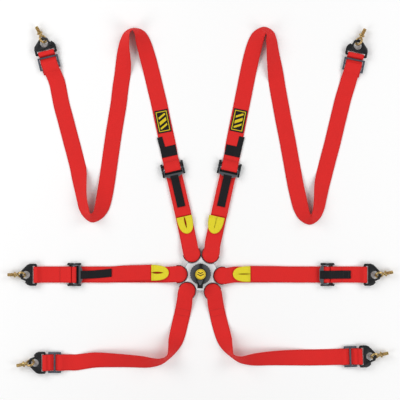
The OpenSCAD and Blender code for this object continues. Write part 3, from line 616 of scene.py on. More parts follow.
def section(flat_steps):
    """Points round webbing's section: half-width share, half-thickness share, and which row of the edge."""
    points = []
    for k in range(flat_steps + 1):
        points.append((-1 + 2 * k / flat_steps, 1.0, 0))
    points += [(1.0, 0.55, 1), (1.0, 0.0, 2), (1.0, -0.55, 1)]
    for k in range(flat_steps + 1):
        points.append((1 - 2 * k / flat_steps, -1.0, 0))
    points += [(-1.0, -0.55, 1), (-1.0, 0.0, 2), (-1.0, 0.55, 1)]
    return points


def webbing_mesh(ribbon, flat_steps=10):
    """The ribbon as a closed mesh with soft selvedges; its UV map is in metres, across and along."""
    points = section(flat_steps)
    around = len(points)
    rings = len(ribbon.run) + (1 if ribbon.closed else 0)
    bm = bmesh.new()
    uv = bm.loops.layers.uv.new("UVMap")
    bmesh.ops.create_grid(bm, x_segments=around, y_segments=rings - 1, size=1.0)
    place = {}
    bm.verts.index_update()
    reach = max(vert.co.x for vert in bm.verts)
    for vert in bm.verts:
        place[vert.index] = (round((vert.co.x / reach + 1) / 2 * around),
                             round((vert.co.y / reach + 1) / 2 * (rings - 1)))
    for face in bm.faces:
        for loop in face.loops:
            i, j = place[loop.vert.index]
            side = points[i % around][0]
            half = ribbon.width[j % len(ribbon.run)] / 2
            run = ribbon.run[j] if j < len(ribbon.run) else ribbon.length
            loop[uv].uv = (ribbon.nominal / 2 + side * half, run)
    for vert in bm.verts:
        i, j = place[vert.index]
        j %= len(ribbon.run)
        side, up, edge = points[i % around]
        half, thick = ribbon.width[j] / 2, ribbon.thick[j] / 2
        soft = min(0.0009, half * 0.3, thick * 0.8)
        notch = 0.0007 * min(1.0, max(0.0, (ribbon.thick[j] - 0.003) / 0.001))
        if edge == 0:
            x = side * (half - soft)
            y = up * thick
        elif edge == 1:
            x = side * (half - soft * 0.18)
            y = up * thick
        else:
            x = side * (half - notch)
            y = 0.0
        vert.co = Vector(ribbon.centre[j] + ribbon.across[j] * x + ribbon.up[j] * y)
    bmesh.ops.remove_doubles(bm, verts=bm.verts, dist=1e-7)
    if not ribbon.closed:
        bmesh.ops.holes_fill(bm, edges=[e for e in bm.edges if e.is_boundary], sides=0)
    bmesh.ops.recalc_face_normals(bm, faces=bm.faces)
    return bm


def stitch_mesh(bm, ribbon, marks, radius=THREAD_R, face=1):
    """Adds short threads to bm: each mark is (run, side, length, angle to the webbing's run, in degrees)."""
    for run, side, length, angle in marks:
        spot, up, across = ribbon.at(run, side, radius * 0.25, face)
        along = across.cross(up) * -1
        c, s = math.cos(math.radians(angle)), math.sin(math.radians(angle))
        line = (along * c + across * s).normalized()
        turn = Matrix((line, up.cross(line), up)).transposed().to_4x4()
        size = Matrix.Diagonal((length / 2, radius, radius * 0.8, 1))
        made = bmesh.ops.create_icosphere(bm, subdivisions=1, radius=1.0)
        bmesh.ops.transform(bm, matrix=Matrix.Translation(spot) @ turn @ size, verts=made["verts"])


def row_across(run, low, high, pitch=0.0034, length=0.0028):
    """A row of stitches straight across the webbing."""
    count = max(2, int((high - low) * 0.025 / pitch))
    return [(run, low + (high - low) * (k + 0.5) / count, length, 90) for k in range(count)]


def row_along(first, last, side, pitch=0.0034, length=0.0028):
    """A row of stitches along the webbing."""
    count = max(2, int(abs(last - first) / pitch))
    return [(first + (last - first) * (k + 0.5) / count, side, length, 0) for k in range(count)]


# Stations of each strap, in millimetres, as in the part's own design
SINGLE_Z = 1.0
OVER_Z = 3.3
TOP_Z = 5.3
SHOULDER_LOWER = [(-120, 0, 2, 4), (-60, 0, 2, 4), (-30, 0, 2, 4), (-22, 0, 1.3, 2), (-14, 0, 1.2, 2),
                  (-9.4, 0, 1.8, 2), (-7.6, 0, 4.4, 2), (-9.4, 0, 7, 2), (-14, 0, 7, 2)]
SHOULDER_MID = {"shoulder_left": ((-35, 95), (-42, 128)), "shoulder_right": ((38, 94), (45, 127))}
SHOULDER_FREE = [(-150, 0, TOP_Z, 2), (-100, 0, TOP_Z, 2), (-50, 0, TOP_Z, 2), (-34, 0, TOP_Z + 0.2, 2),
                 (-24, 0, 6.6, 2), (-16, 0, 9.3, 2), (-11, 0, 11.2, 2), (-6, 0, 13.5, 2), (0, 0, 14.9, 2),
                 (6, 0, 14, 2), (13, 0, 11.8, 2), (20, 0, 8.2, 2), (27, 0, 4, 2), (35, 0, 1.4, 2),
                 (42, 0, SINGLE_Z, 2)]
SLIDER_UNDER = [(-145, 0, SINGLE_Z, 2), (-120, 0, 2.4, 2), (-106, 0, 6, 2), (-98, 0, 9.3, 2),
                (-91, 0, 10.2, 2), (-87.2, 0, 9.2, 2), (-83, 0, 5.6, 2), (-78, 0, 3.4, 2), (-70.5, 0, 3.4, 2),
                (-65.5, 0, 5.8, 2), (-61.4, 0, 9.4, 2), (-57, 0, 10.2, 2), (-52.5, 0, 11.8, 2),
                (-50.3, 0, 14.2, 2)]
HOOK_TURN = [(-49.4, 0, 15.3, 2), (-46, 0, 16.2, 2), (-41.5, 0, 16, 2), (-39, 0, 14.9, 2),
             (-38.3, 0, 12.5, 2), (-39.2, 0, 9.8, 2), (-42.6, 0, 8.5, 2), (-46.8, 0, 5.5, 2),
             (-50.4, 0, 1.9, 2),
             (-54, 0, SINGLE_Z, 2), (-74, 0, SINGLE_Z, 2), (-108, 0, SINGLE_Z, 2)]
SHOULDER_RUN = {
    "shoulder_left": [
        (-99, 388, 0), (-107, 426, 0), (-118, 476, 0), (-128, 525, 0), (-140, 575, 0), (-152, 625, 0),
        (-165, 675, 10), (-178, 720, 30), (-189, 743, 52), (-207, 754, 75), (-225, 744, 66), (-233, 722, 52),
        (-237, 697, 42), (-238, 672, 28), (-239, 645, 12), (-242, 615, 0), (-248, 575, 0), (-254, 525, 0),
        (-262, 476, 0), (-270, 426, 0), (-277, 377, 0), (-284, 327, 0), (-291, 277, -6), (-298, 235, -16),
        (-305, 204, -32), (-317, 181, -52), (-335, 172, -58), (-350, 182, -58), (-360, 204, -48),
        (-366, 230, -46), (-370, 258, -38), (-374, 290, -22), (-379, 325, 0), (-392, 377, 0),
        (-405, 426, 0), (-418, 476, 0), (-431, 525, 0)],
    "shoulder_right": [
        (101, 388, 0), (108, 426, 0), (118, 476, 0), (128, 525, 0), (138, 575, 0), (148, 625, 0),
        (159, 675, -8), (171, 718, -24), (182, 740, -42), (199, 751, -58), (214, 742, -56), (219, 722, -46),
        (222, 697, -40), (225, 670, -32), (230, 635, -18), (235, 600, 0), (239, 575, 0), (248, 525, 0),
        (257, 476, 0), (267, 426, 0), (276, 377, 0), (285, 327, 0), (294, 277, 5), (303, 235, 12),
        (310, 204, 26), (321, 178, 44), (339, 167, 52), (355, 178, 50), (365, 204, 40), (370, 235, 32),
        (375, 270, 16), (383, 305, 0), (395, 352, 0), (408, 401, 0), (420, 451, 0), (432, 501, 0),
        (443, 545, 0)],
}
SLIDER_DRIFT = {"shoulder_left": -9, "shoulder_right": 6}
LAP_START = [(-288, 0, 6, 5), (-262, 0, 2.6, 4), (-230, 0, 2, 4), (-180, 0, 2, 4), (-160, 0, SINGLE_Z, 2)]
LAP_ROUND = [(-60, 0, SINGLE_Z, 2), (-22, 0, SINGLE_Z, 2), (-9, 0, 1.2, 2), (0, 0, 3.1, 2), (4.4, 0, 5.2, 2),
             (5.9, 0, 9, 2), (4.3, 0, 13, 2), (0, 0, 14.9, 2), (-5, 0, 14, 2), (-9.6, 0, 11.4, 2),
             (-14.4, 0, 8, 2), (-22, 0, 4.8, 2), (-32, 0, OVER_Z, 2), (-60, 0, OVER_Z, 2),
             (-110, 0, OVER_Z, 2)]
LAP_DRIFT = {"lap_left": -6, "lap_right": 2}
CROTCH_MID = {"crotch_left": ((-49.5, -88, 252, 6.6, 5), (-54.5, -116, 258, 2, 4)),
              "crotch_right": ((46, -90, -73, 6.6, 5), (51, -116, -79, 2, 4))}
CROTCH_RUN = {
    "crotch_left": [
        (-62, -148, 0), (-69, -178, -6), (-76, -205, -22), (-84, -230, -50), (-97, -254, -72),
        (-122, -269, -62), (-150, -273, -48), (-176, -272, -38), (-205, -270, -34), (-250, -268, -28),
        (-324, -267, -14)],
    "crotch_right": [
        (57, -143, 0), (64, -170, 4), (73, -200, 18), (83, -228, 48), (97, -251, 73), (122, -263, 60),
        (148, -265, 44), (174, -264, 32), (222, -261, 22), (280, -260, 10), (340, -260, 0)],
}
HEAD_R = 26.2
HEAD_ANGLE = {"shoulder_left": 108, "shoulder_right": 70, "lap_left": 180.6, "lap_right": -2.5,
              "crotch_left": 245, "crotch_right": -65}
LABEL_W = 42.0
LABEL_L = 71.0


def head_route(side):
    """The strap's round end on its tongue: doubled webbing that fills out from the rim."""
    seat = math.radians(TONGUE_ANGLE[side])
    cx, cy = HEAD_DIST * math.cos(seat), HEAD_DIST * math.sin(seat)
    angle = HEAD_ANGLE[side]
    c, s = math.cos(math.radians(angle)), math.sin(math.radians(angle))
    route = []
    for share in (0.998, 0.985, 0.95, 0.88, 0.76, 0.6, 0.42, 0.2, 0.0):
        half = HEAD_R * math.sqrt(1 - share * share)
        fill = min(1.0, 0.45 + (1 - share) * 3.2)
        d = -HEAD_R * share
        route.append(station(cx + d * c, cy + d * s, STACK_MID, angle, STACK_T * fill, 2 * half))
    for d, wide in ((TONGUE_END, 2 * HEAD_R - 0.6), (TONGUE_END + 6, 50.4)):
        route.append(station(cx + d * c, cy + d * s, STACK_MID, angle, STACK_T, wide))
    return route


def strap_routes():
    """Every red strap: name, body, replaced node, stations, and whether it is a closed loop."""
    for side in ("shoulder_left", "shoulder_right"):
        place, mid = ADJUSTERS[side], SHOULDER_MID[side]
        bearing = TONGUE_ANGLE[side]
        lower = head_route(side) + [
            station(*mid[0], 7, (bearing + 2 * place[2]) / 3, 5), station(*mid[1], 3, place[2], 4)]
        yield "strap_tongue_" + side, side, lower + arm_route(place, SHOULDER_LOWER), False
        long = (arm_route(place, SHOULDER_FREE) + floor_route(SHOULDER_RUN[side])
                + arm_route(HOOKS[side], slider_over(SLIDER_DRIFT[side]) + HOOK_TURN))
        yield "strap_" + side, side, long, False
    for side in ("lap_left", "lap_right"):
        place, drift = ADJUSTERS[side], LAP_DRIFT[side]
        end = [(-150, drift / 2, OVER_Z, 2), (-178, 0.7 * drift, 4.6, 2), (-200, 0.8 * drift, TOP_Z, 2),
               (-241, drift, TOP_Z, 2)]
        yield "strap_" + side, side, head_route(side) + arm_route(place, LAP_START + LAP_ROUND + end), False
        reach = abs(HOOKS[side][0] - place[0])
        ring = [(13, 0, 11.4, 2), (20, 0, 9.6, 2), (32, 0, 5, 2), (50, 0, OVER_Z, 2),
                (reach - 82, 0, OVER_Z, 2), (reach - 62, 0, 6.6, 2), (reach - 53, 0, 12.2, 2),
                (reach - 48.7, 0, 15.7, 2),
                (reach - 43.5, 0, 16.3, 2), (reach - 39.2, 0, 15.3, 2), (reach - 38.2, 0, 12.5, 2),
                (reach - 39.2, 0, 9.7, 2), (reach - 43.5, 0, 8.7, 2), (reach - 52, 0, 6.4, 2),
                (reach - 64, 0, 1.8, 2), (reach - 82, 0, SINGLE_Z, 2), (50, 0, SINGLE_Z, 2),
                (24, 0, SINGLE_Z, 2), (16, 0, 2.2, 2),
                (10.6, 0, 3.2, 2), (8.6, 0, 7, 2), (10, 0, 10.4, 2)]
        yield "anchor_loop_" + side.split("_")[1], side, arm_route(place, ring), True
    for side in ("crotch_left", "crotch_right"):
        mid = [station(x, y, z, bearing, t) for x, y, bearing, z, t in CROTCH_MID[side]]
        yield ("strap_" + side, side, head_route(side) + mid + floor_route(CROTCH_RUN[side])
               + arm_route(HOOKS[side], SLIDER_UNDER + HOOK_TURN), False)


_ribbons = {}


def make_straps():
    """All red webbing, each piece laid along its route."""
    red = once("red_webbing", red_webbing)
    for name, side, stations, closed in strap_routes():
        ribbon = Ribbon(stations, 6, closed)
        _ribbons[name] = ribbon
        piece = add_piece("webbing_" + name, webbing_mesh(ribbon), arm_body(side), red, [name])


# ---------- black tabs, yellow loops, labels and keepers ----------

TAB_TOP = 15.3
TAB_SHOULDER = [(-21, 0, TAB_TOP, 2), (-26, 0, TAB_TOP, 2), (-34, 0, 12, 2), (-48, 0, 8.4, 2),
                (-66, 0, 7.6, 2), (-90, 0, 7.6, 2), (-120, 0, 7.6, 2)]
TAB_LAP = [(-21, 0, TAB_TOP, 2), (-26, 0, TAB_TOP, 2), (-34, 0, 11, 2), (-48, 0, 6.6, 2),
           (-66, -1, 5.7, 2), (-90, -3, 5.7, 2), (-116, -6, 5.7, 2)]
TAB_BACK = [(-24, 0, TAB_TOP, 2), (-14, 0, TAB_TOP + 0.4, 2), (-5, 0, 17.3, 2), (4, 0, 17.3, 2),
            (14, 0, 15.4, 2), (26, 0, 10.6, 2), (38, 0, 7.2, 2), (54, 0, 5.9, 2), (72, 0, 5.9, 2)]
TABS = {"shoulder_left": TAB_SHOULDER, "shoulder_right": TAB_SHOULDER, "lap_left": TAB_LAP,
        "lap_right": TAB_BACK}
# Pull loops: x, y, bearing, rise in degrees and half of the slit's width
LOOPS = {
    "shoulder_left": (-51, 177, -77, 0, 2.2),
    "shoulder_right": (51, 177, -102.5, 0, 0.0),
    "lap_left": (-152, 3, 0, 5, 2.6),
    "lap_right": (154, -1, 180, 5, 1.0),
}
LABELS = {"shoulder_left": (-116.5, 471.7, 101), "shoulder_right": (118, 473.7, 78)}
KEEPER_OUTER = {"shoulder_left": 1, "shoulder_right": -1}
KEEPER_BEND = {"shoulder_left": 0.05, "shoulder_right": -0.03}
KEEPER_W = 49.4
STRIP_W = 17.0
TAB_W = 25.0


def make_tabs():
    black = once("black_tape", black_tape)
    thread = once("dark_thread", dark_thread)
    for side in LEVERED:
        ribbon = Ribbon(arm_route(ADJUSTERS[side], TABS[side], TAB_W), 8)
        bm = webbing_mesh(ribbon, 6)
        name = "tab_" + side
        if side == "lap_right":
            piece = add_piece(name, bm, None, black, ["release_tab_" + side])
            start, end = along_place(ADJUSTERS[side], -10, 0), along_place(ADJUSTERS[side], 10, 0)
            start[0] * MM
            start[1] * MM
            end[0] * MM
            end[1] * MM
            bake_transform(piece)
        else:
            piece = add_piece(name, bm, "lever_" + side, black, ["release_tab_" + side])
        sewn = bmesh.new()
        far = ribbon.length - 0.006
        marks = (row_across(far, -0.8, 0.8) + row_across(far - 0.018, -0.8, 0.8)
                 + row_along(far - 0.018, far, -0.8) + row_along(far - 0.018, far, 0.8))
        stitch_mesh(sewn, ribbon, marks, TAPE_THREAD_R)
        body = "arm_lap_right" if side == "lap_right" else "lever_" + side
        add_piece(name + "_stitches", sewn, body, thread)


def loop_outline(u):
    """Half-width of a pull loop at u from its base: straight, then round to the tip."""
    return 24.5 * math.sqrt(max(0.0, 1 - (max(u, 0) / 54) ** 3))


def loop_route(side):
    """A tape folded round its tip: two legs with a narrow open slit, and a fan round the slit's end."""
    x, y, bearing, rise, slit = LOOPS[side]
    pivot = 37.0
    legs = [(u, 0.25 + slit * math.sin(math.pi * u / pivot))
            for u in (0.0, 6.0, 12.0, 18.0, 24.0, 30.0, 35.0)]
    stations = [(u, gap, loop_outline(u), 90.0) for u, gap in legs]
    for angle in (66, 44, 22, 0, -22, -44, -66):
        c, s = math.cos(math.radians(angle)), abs(math.sin(math.radians(angle)))
        reach = next(r for r in np.arange(5, 26, 0.1) if r * s >= loop_outline(pivot + r * c))
        stations.append((pivot, 0.3, reach, angle))
    stations += [(u, gap, loop_outline(u), -90.0) for u, gap in legs[::-1]]
    route = []
    lift = math.tan(math.radians(rise))
    turn = math.radians(bearing)
    for u, gap, outer, angle in stations:
        c, s = math.cos(math.radians(angle)), math.sin(math.radians(angle))
        middle = (gap + outer) / 2
        pu, pv = u + middle * c, middle * s
        px, py = x + pu * math.cos(turn) - pv * math.sin(turn), y + pu * math.sin(turn) + pv * math.cos(turn)
        ax, ay = c * math.cos(turn) - s * math.sin(turn), c * math.sin(turn) + s * math.cos(turn)
        route.append([px, py, 8.05 + pu * lift, ax, ay, c * lift, outer - gap, 3.0])
    return route


def make_loops():
    yellow = once("yellow_tape", yellow_tape)
    thread = once("yellow_thread", lambda name: moulded(name, (0.62, 0.50, 0.02), 0.6))
    for side in LEVERED:
        ribbon = Ribbon(loop_route(side), 6)
        piece = add_piece("loop_" + side, webbing_mesh(ribbon, 6), arm_body(side), yellow,
                          ["pull_loop_" + side])
        sewn = bmesh.new()
        marks = []
        for run in (0.003, 0.0068, ribbon.length - 0.003, ribbon.length - 0.0068):
            marks += row_across(run, -0.85, 0.85, 0.0032)
        stitch_mesh(sewn, ribbon, marks, TAPE_THREAD_R, ribbon.facing_up(3))
        add_piece("loop_" + side + "_stitches", sewn, arm_body(side), thread)


def patch(name, side, stations, material, slot, flat):
    """A flat piece sewn or slipped onto a shoulder strap."""
    ribbon = Ribbon(stations, 4)
    piece = add_piece(name, webbing_mesh(ribbon, 6), arm_body(side), material)
    "webbing_strap_" + side
    return ribbon


def make_labels():
    label = once("label_weave", label_weave)
    black = once("black_tape", black_tape)
    thread = once("dark_thread", dark_thread)
    for side, place in LABELS.items():
        stations = arm_route(place, [(u, 0, 2.55, 0.9) for u in (-35.5, -18, 0, 18, 35.5)], LABEL_W)
        ribbon = patch("label_" + side, side, stations, label, "label_black", (0.042, 0.071))
        sewn = bmesh.new()
        far = ribbon.length
        marks = (row_along(0.003, far - 0.003, -0.93) + row_along(0.003, far - 0.003, 0.93)
                 + row_across(0.0022, -0.9, 0.9) + row_across(far - 0.0022, -0.9, 0.9))
        stitch_mesh(sewn, ribbon, marks, LABEL_THREAD_R, ribbon.facing_up(2))
        add_piece("label_" + side + "_stitches", sewn, arm_body(side), thread)
        place = ADJUSTERS[side]
        outer = KEEPER_OUTER[side]
        band = [(u, 0, 3.05 if u == 40 else 2.8, 1.3) for u in (40, 48, 56, 64, 72)]
        patch("keeper_band_" + side, side, arm_route(place, band, KEEPER_W), black, "black_tape",
              (0.0494, 0.032))
        drift = [(u, outer * 16 + (u - 72) * KEEPER_BEND[side], 2.6, 1.0) for u in (71, 82, 93, 105)]
        patch("keeper_strip_" + side, side, arm_route(place, drift, STRIP_W), black, "black_tape",
              (0.017, 0.034))


def make_stitches():
    """Rows of red thread at every sewn end of the straps."""
    thread = once("sewing_thread", sewing_thread)
    for side in ("shoulder_left", "shoulder_right"):
        low, high = _ribbons["strap_tongue_" + side], _ribbons["strap_" + side]
        box_on(low, side, "head", thread, low.nearest(*along_place(ADJUSTERS[side], -60, 0)), 0.012)
        start = high.nearest(*along_place(ADJUSTERS[side], 23, 0))
        rows_on(high, side, "hem", thread, [start, start + 0.004])
        end = high.nearest(*along_place(HOOKS[side], -108, 0)) - 0.012
        rows_on(high, side, "free_end", thread, [end])
    for side in ("lap_left", "lap_right"):
        strap = _ribbons["strap_" + side]
        box_on(strap, side, "head", thread, strap.nearest(*along_place(ADJUSTERS[side], -205, 0)), 0.016)
        ring = _ribbons["anchor_loop_" + side.split("_")[1]]
        run = ring.nearest(*along_place(ADJUSTERS[side], 42, 0))
        rows_on(ring, side, "anchor", thread, [run, run + 0.003])
        far = ring.nearest(*along_place(HOOKS[side], -76, 0))
        rows_on(ring, side, "anchor_far", thread, [far, far - 0.003])
    for side in ("crotch_left", "crotch_right"):
        strap = _ribbons["strap_" + side]
        box_on(strap, side, "head", thread, strap.nearest(*CROTCH_MID[side][1][:2]) + 0.004, 0.010)


def rows_on(ribbon, side, label, thread, runs):
    bm = bmesh.new()
    for run in runs:
        face = ribbon.facing_up(ribbon.index_at(run))
        stitch_mesh(bm, ribbon, row_across(run, -0.9, 0.9), face=face)
    add_piece(f"stitches_{side}_{label}", bm, arm_body(side), thread)


def box_on(ribbon, side, label, thread, run, half):
    """Two rows across with a row along each edge between them."""
    bm = bmesh.new()
    marks = (row_across(run - half, -0.88, 0.88) + row_across(run + half, -0.88, 0.88)
             + row_along(run - half, run + half, -0.88) + row_along(run - half, run + half, 0.88))
    stitch_mesh(bm, ribbon, marks, face=ribbon.facing_up(ribbon.index_at(run)))
    add_piece(f"stitches_{side}_{label}", bm, arm_body(side), thread)


# ---------- buckle ----------

BODY_TOP = 0.020
INLAY_Z = 0.0358
INLAY_T = 0.0009
INLAY_OUTLINE = ((-7.5, -18.2), (-2.2, -33), (2.2, -33), (7.5, -18.2))


def make_buckle():
    alloy = once("buckle_alloy", buckle_alloy)
    rim = once("bright_steel", bright_steel)
    bm = from_node("buckle_body")
    top = [e for e in bm.edges
           if all(abs(v.co.z - BODY_TOP) < 1e-5 and v.co.xy.length > 0.02 for v in e.verts)
           and any(abs(f.normal.z) < 0.5 for f in e.link_faces)]
    bmesh.ops.bevel(bm, geom=top, offset=0.0019, offset_type="OFFSET", affect="EDGES", segments=3,
                    profile=0.5, material=-1)
    # The sloped chamfer faces round the top take the grey steel: partly the rim's own metal, partly painted
    # shade on faces that tilt away from the overhead light.
    for face in bm.faces:
        middle = face.calc_center_median()
        sloped = abs(face.normal.z) < 0.97 and middle.xy.length > 0.02
        face.material_index = 1 if sloped and middle.z > BODY_TOP - 0.0025 else 0
    body = add_piece("buckle_housing", bm, "buckle", alloy, ["buckle_body"], smooth=False)
    body.data.materials.append(rim)
    dress_node("buckle_back_plate", "buckle_back", "buckle", rim, 0.0008)
    dress_node("latch_pins", "latch_spider", "latch", rim, 0.0003)


def make_release():
    knob = once("knob_plastic", knob_plastic)
    handle = once("handle_plastic", handle_plastic)
    badge = once("badge_enamel", badge_enamel)
    dress_node("release_knob", "turn_knob", "knob", knob, 0.0007, 3)
    dress_node("release_handle", "turn_handle", "knob", handle, 0.0011, 3)
    dress_node("centre_badge", "badge", "knob", badge, 0.0004, 2)
    bm = bmesh.new()
    bm.faces.new([bm.verts.new((x * MM, y * MM, INLAY_Z)) for x, y in INLAY_OUTLINE])
    raise_faces(bm, (0, 0, INLAY_T))
    bmesh.ops.rotate(bm, verts=bm.verts, matrix=Matrix.Rotation(math.radians(-BUCKLE_TURN), 3, "Z"))
    bmesh.ops.recalc_face_normals(bm, faces=bm.faces)
    round_edges(add_piece("handle_inlay", bm, "knob", once("grey_steel", grey_steel)), 0.0003)


def make_tongues():
    black = once("black_steel", black_steel)
    for side in SIDES:
        dress_node("tongue_" + side, "tongue_plate_" + side, arm_body(side), black, 0.0005)


# ---------- adjusters, sliders and hooks ----------

ROLLER_Z = 0.009
SPRING_V = 0.0333
SPRING_R = 0.0033
SPRING_WIRE = 0.0005
SPRING_PITCH = 0.0011
SPRING_TURNS = 2
SPRING_STEPS = 14
TEETH_HALF = 0.0278


def coil(bm, place, sign):
    """A torsion spring round the lever's pin, with a short leg along the side plate; sign picks the side."""
    turn = placed(place, ROLLER_Z)
    path = []
    for k in range(SPRING_TURNS * SPRING_STEPS + 1):
        a = 2 * math.pi * k / SPRING_STEPS
        v = sign * SPRING_V + sign * SPRING_PITCH * k / SPRING_STEPS
        path.append(Vector((SPRING_R * math.cos(a), v, SPRING_R * math.sin(a))))
    path.append(path[-1] + Vector((0, 0, 0.004)))
    path.insert(0, path[0] + Vector((-0.001, 0, 0.006)))
    path.insert(0, path[0] + Vector((-0.010, 0, 0.001)))
    tube(bm, [turn @ p for p in path], SPRING_WIRE, 8)


def tube(bm, path, radius, sides):
    """A closed round wire along a path of points."""
    rings = []
    up = Vector((0.13, 0.21, 1)).normalized()
    for i, point in enumerate(path):
        before, after = path[max(i - 1, 0)], path[min(i + 1, len(path) - 1)]
        tangent = (after - before).normalized()
        side = tangent.cross(up).normalized()
        up = side.cross(tangent).normalized()
        frame_of = Matrix((side, up, tangent)).transposed().to_4x4()
        made = bmesh.ops.create_circle(bm, cap_ends=False, segments=sides, radius=radius)
        bmesh.ops.transform(bm, matrix=Matrix.Translation(point) @ frame_of, verts=made["verts"])
        rings.append({e for v in made["verts"] for e in v.link_edges})
    for first, second in zip(rings, rings[1:]):
        bmesh.ops.bridge_loops(bm, edges=list(first | second))
    bmesh.ops.holes_fill(bm, edges=[e for e in bm.edges if e.is_boundary], sides=sides)
    bmesh.ops.recalc_face_normals(bm, faces=bm.faces)


def teeth_mesh(place):
    """The cam's toothed bar: a saw-tooth profile drawn across the adjuster."""
    profile = [(-0.0148, 0.0139)]
    for k in range(4):
        profile += [(-0.0146 + k * 0.0016, 0.0162), (-0.0134 + k * 0.0016, 0.0152)]
    profile += [(-0.0082, 0.0158), (-0.0082, 0.0150)]
    bm = bmesh.new()
    bm.faces.new([bm.verts.new((u, -TEETH_HALF, z)) for u, z in profile])
    raise_faces(bm, (0, 2 * TEETH_HALF, 0))
    bmesh.ops.transform(bm, matrix=placed(place), verts=bm.verts)
    bmesh.ops.recalc_face_normals(bm, faces=bm.faces)
    return bm


def make_adjusters():
    black = once("black_steel", black_steel)
    grey = once("grey_steel", grey_steel)
    for side in LEVERED:
        dress_node("adjuster_frame_" + side, "adjuster_" + side, arm_body(side), black, 0.0005)
        dress_node("adjuster_lever_" + side, "cam_lever_" + side, "lever_" + side, grey, 0.0005)
        bm = bmesh.new()
        for sign in (-1, 1):
            coil(bm, ADJUSTERS[side], sign)
        add_piece("springs_" + side, bm, arm_body(side), grey)
        if side != "lap_right":
            add_piece("cam_teeth_" + side, teeth_mesh(ADJUSTERS[side]), "lever_" + side, black,
                      smooth=False)


SLIDER_U = -74.5
SLIDER_Z = 0.0046
SLIDER_T = 0.004
SLIDER_CUTS_U = (-20, -15, -2.5, 2.5, 15, 20)
SLIDER_CUTS_V = (-32.5, -27, 27, 32.5)


def slider_mesh(place):
    """A plate with two slots: a grid of cells with the slots' cells left out, drawn up to its thickness."""
    bm = bmesh.new()
    rows = [[bm.verts.new((SLIDER_U * MM + u * MM, v * MM, SLIDER_Z)) for v in SLIDER_CUTS_V]
            for u in SLIDER_CUTS_U]
    for i in range(len(SLIDER_CUTS_U) - 1):
        for j in range(len(SLIDER_CUTS_V) - 1):
            if j != 1 or i % 2 == 0:
                bm.faces.new((rows[i][j], rows[i + 1][j], rows[i + 1][j + 1], rows[i][j + 1]))
    raise_faces(bm, (0, 0, SLIDER_T))
    bmesh.ops.transform(bm, matrix=placed(place), verts=bm.verts)
    bmesh.ops.recalc_face_normals(bm, faces=bm.faces)
    return bm


def make_sliders():
    blued = once("blued_steel", blued_steel)
    for side in SLIDING:
        piece = add_piece("three_bar_slider_" + side, slider_mesh(HOOKS[side]), arm_body(side), blued,
                          ["slider_" + side])
        round_edges(piece, 0.0011, 3)


def make_hooks():
    black = once("black_steel", black_steel)
    for side in SIDES:
        dress_node("snap_hook_" + side, "hook_" + side, arm_body(side), black, 0.0008, 3)
        dress_node("hook_gate_" + side, "gate_" + side, "gate_" + side, black, 0.0005)


EYE_R = 0.011
EYE_BAR = 0.0035
SHANK_R = 0.005556
SHANK_L = 0.020
NECK_L = 0.007
COLLAR_R = 0.009
COLLAR_T = 0.005


def turned(bm, profile, steps):
    """A solid turned about X from a profile of (x, radius) points that starts and ends on the axis."""
    verts = [bm.verts.new((x, 0, r)) for x, r in profile]
    edges = [bm.edges.new(pair) for pair in zip(verts, verts[1:])]
    bmesh.ops.spin(bm, geom=verts + edges, cent=(0, 0, 0), axis=(1, 0, 0), angle=2 * math.pi, steps=steps,
                   use_merge=True, use_duplicate=False)


def eye_bolt_mesh(side):
    pitch = bpy.context.scene.harness_metal.thread_pitch
    bm = bmesh.new()
    ring = bmesh.ops.create_circle(bm, cap_ends=False, segments=20, radius=EYE_BAR)
    turn = Matrix.Translation((EYE_R, 0, 0)) @ Matrix.Rotation(math.pi / 2, 4, "X")
    bmesh.ops.transform(bm, matrix=turn, verts=ring["verts"])
    bmesh.ops.spin(bm, geom=ring["verts"] + list({e for v in ring["verts"] for e in v.link_edges}),
                   cent=(0, 0, 0), axis=(0, 0, 1), angle=2 * math.pi, steps=64, use_merge=True,
                   use_duplicate=False)
    x = EYE_R + 0.001
    root = x + NECK_L - 0.001
    turned(bm, [(x, 0), (x, 0.0052), (x + 0.002, 0.0048), (root - 0.001, 0.0052), (root, 0.0062),
                (root, COLLAR_R - 0.0008), (root + 0.0008, COLLAR_R), (root + COLLAR_T - 0.0008, COLLAR_R),
                (root + COLLAR_T, COLLAR_R - 0.0008), (root + COLLAR_T, 0)], 48)
    # threaded shank: a tube whose radius follows the helix
    first = root + COLLAR_T
    length = EYE_R + NECK_L + COLLAR_T + SHANK_L - first
    around, along = 32, int(length / pitch * 8)
    grid = bmesh.ops.create_grid(bm, x_segments=around, y_segments=along, size=1.0)["verts"]
    reach = max(v.co.x for v in grid)
    for vert in grid:
        a = (vert.co.x / reach + 1) / 2
        share = (vert.co.y / reach + 1) / 2
        run = share * length
        phase = (run / pitch - a) % 1.0
        fade = min(1.0, (length - run) / 0.0015, run / 0.0008)
        chamfer = 0.0009 * (1 - min(1.0, (length - run) / 0.0012))
        depth = 0.00062 * abs(2 * phase - 1) ** 0.8 * max(0.0, fade) + chamfer
        angle = 2 * math.pi * a
        vert.co = (first + run, (SHANK_R - depth) * math.cos(angle), (SHANK_R - depth) * math.sin(angle))
    bmesh.ops.remove_doubles(bm, verts=bm.verts, dist=1e-6)
    bmesh.ops.holes_fill(bm, edges=[e for e in bm.edges if e.is_boundary], sides=0)
    bmesh.ops.recalc_face_normals(bm, faces=bm.faces)
    x0, y0, bearing = HOOKS[side]
    lean = -EYE_LEAN if MOUTH[side] > 0 else EYE_LEAN
    turn = (Matrix.Translation((x0 * MM, y0 * MM, HOOK_Z * MM))
            @ Matrix.Rotation(math.radians(bearing + BOLT_TURN[side]), 4, "Z")
            @ Matrix.Rotation(math.radians(lean), 4, "X"))
    bmesh.ops.transform(bm, matrix=turn, verts=bm.verts)
    return bm


def make_eye_bolts():
    zinc = once("yellow_zinc", yellow_zinc)
    for side in SIDES:
        piece = add_piece("bolt_" + side, eye_bolt_mesh(side), "bolt_" + side, zinc,
                          ["eye_bolt_" + side])
        piece.data.set_sharp_from_angle(angle=math.radians(40))


# ---------- stage ----------

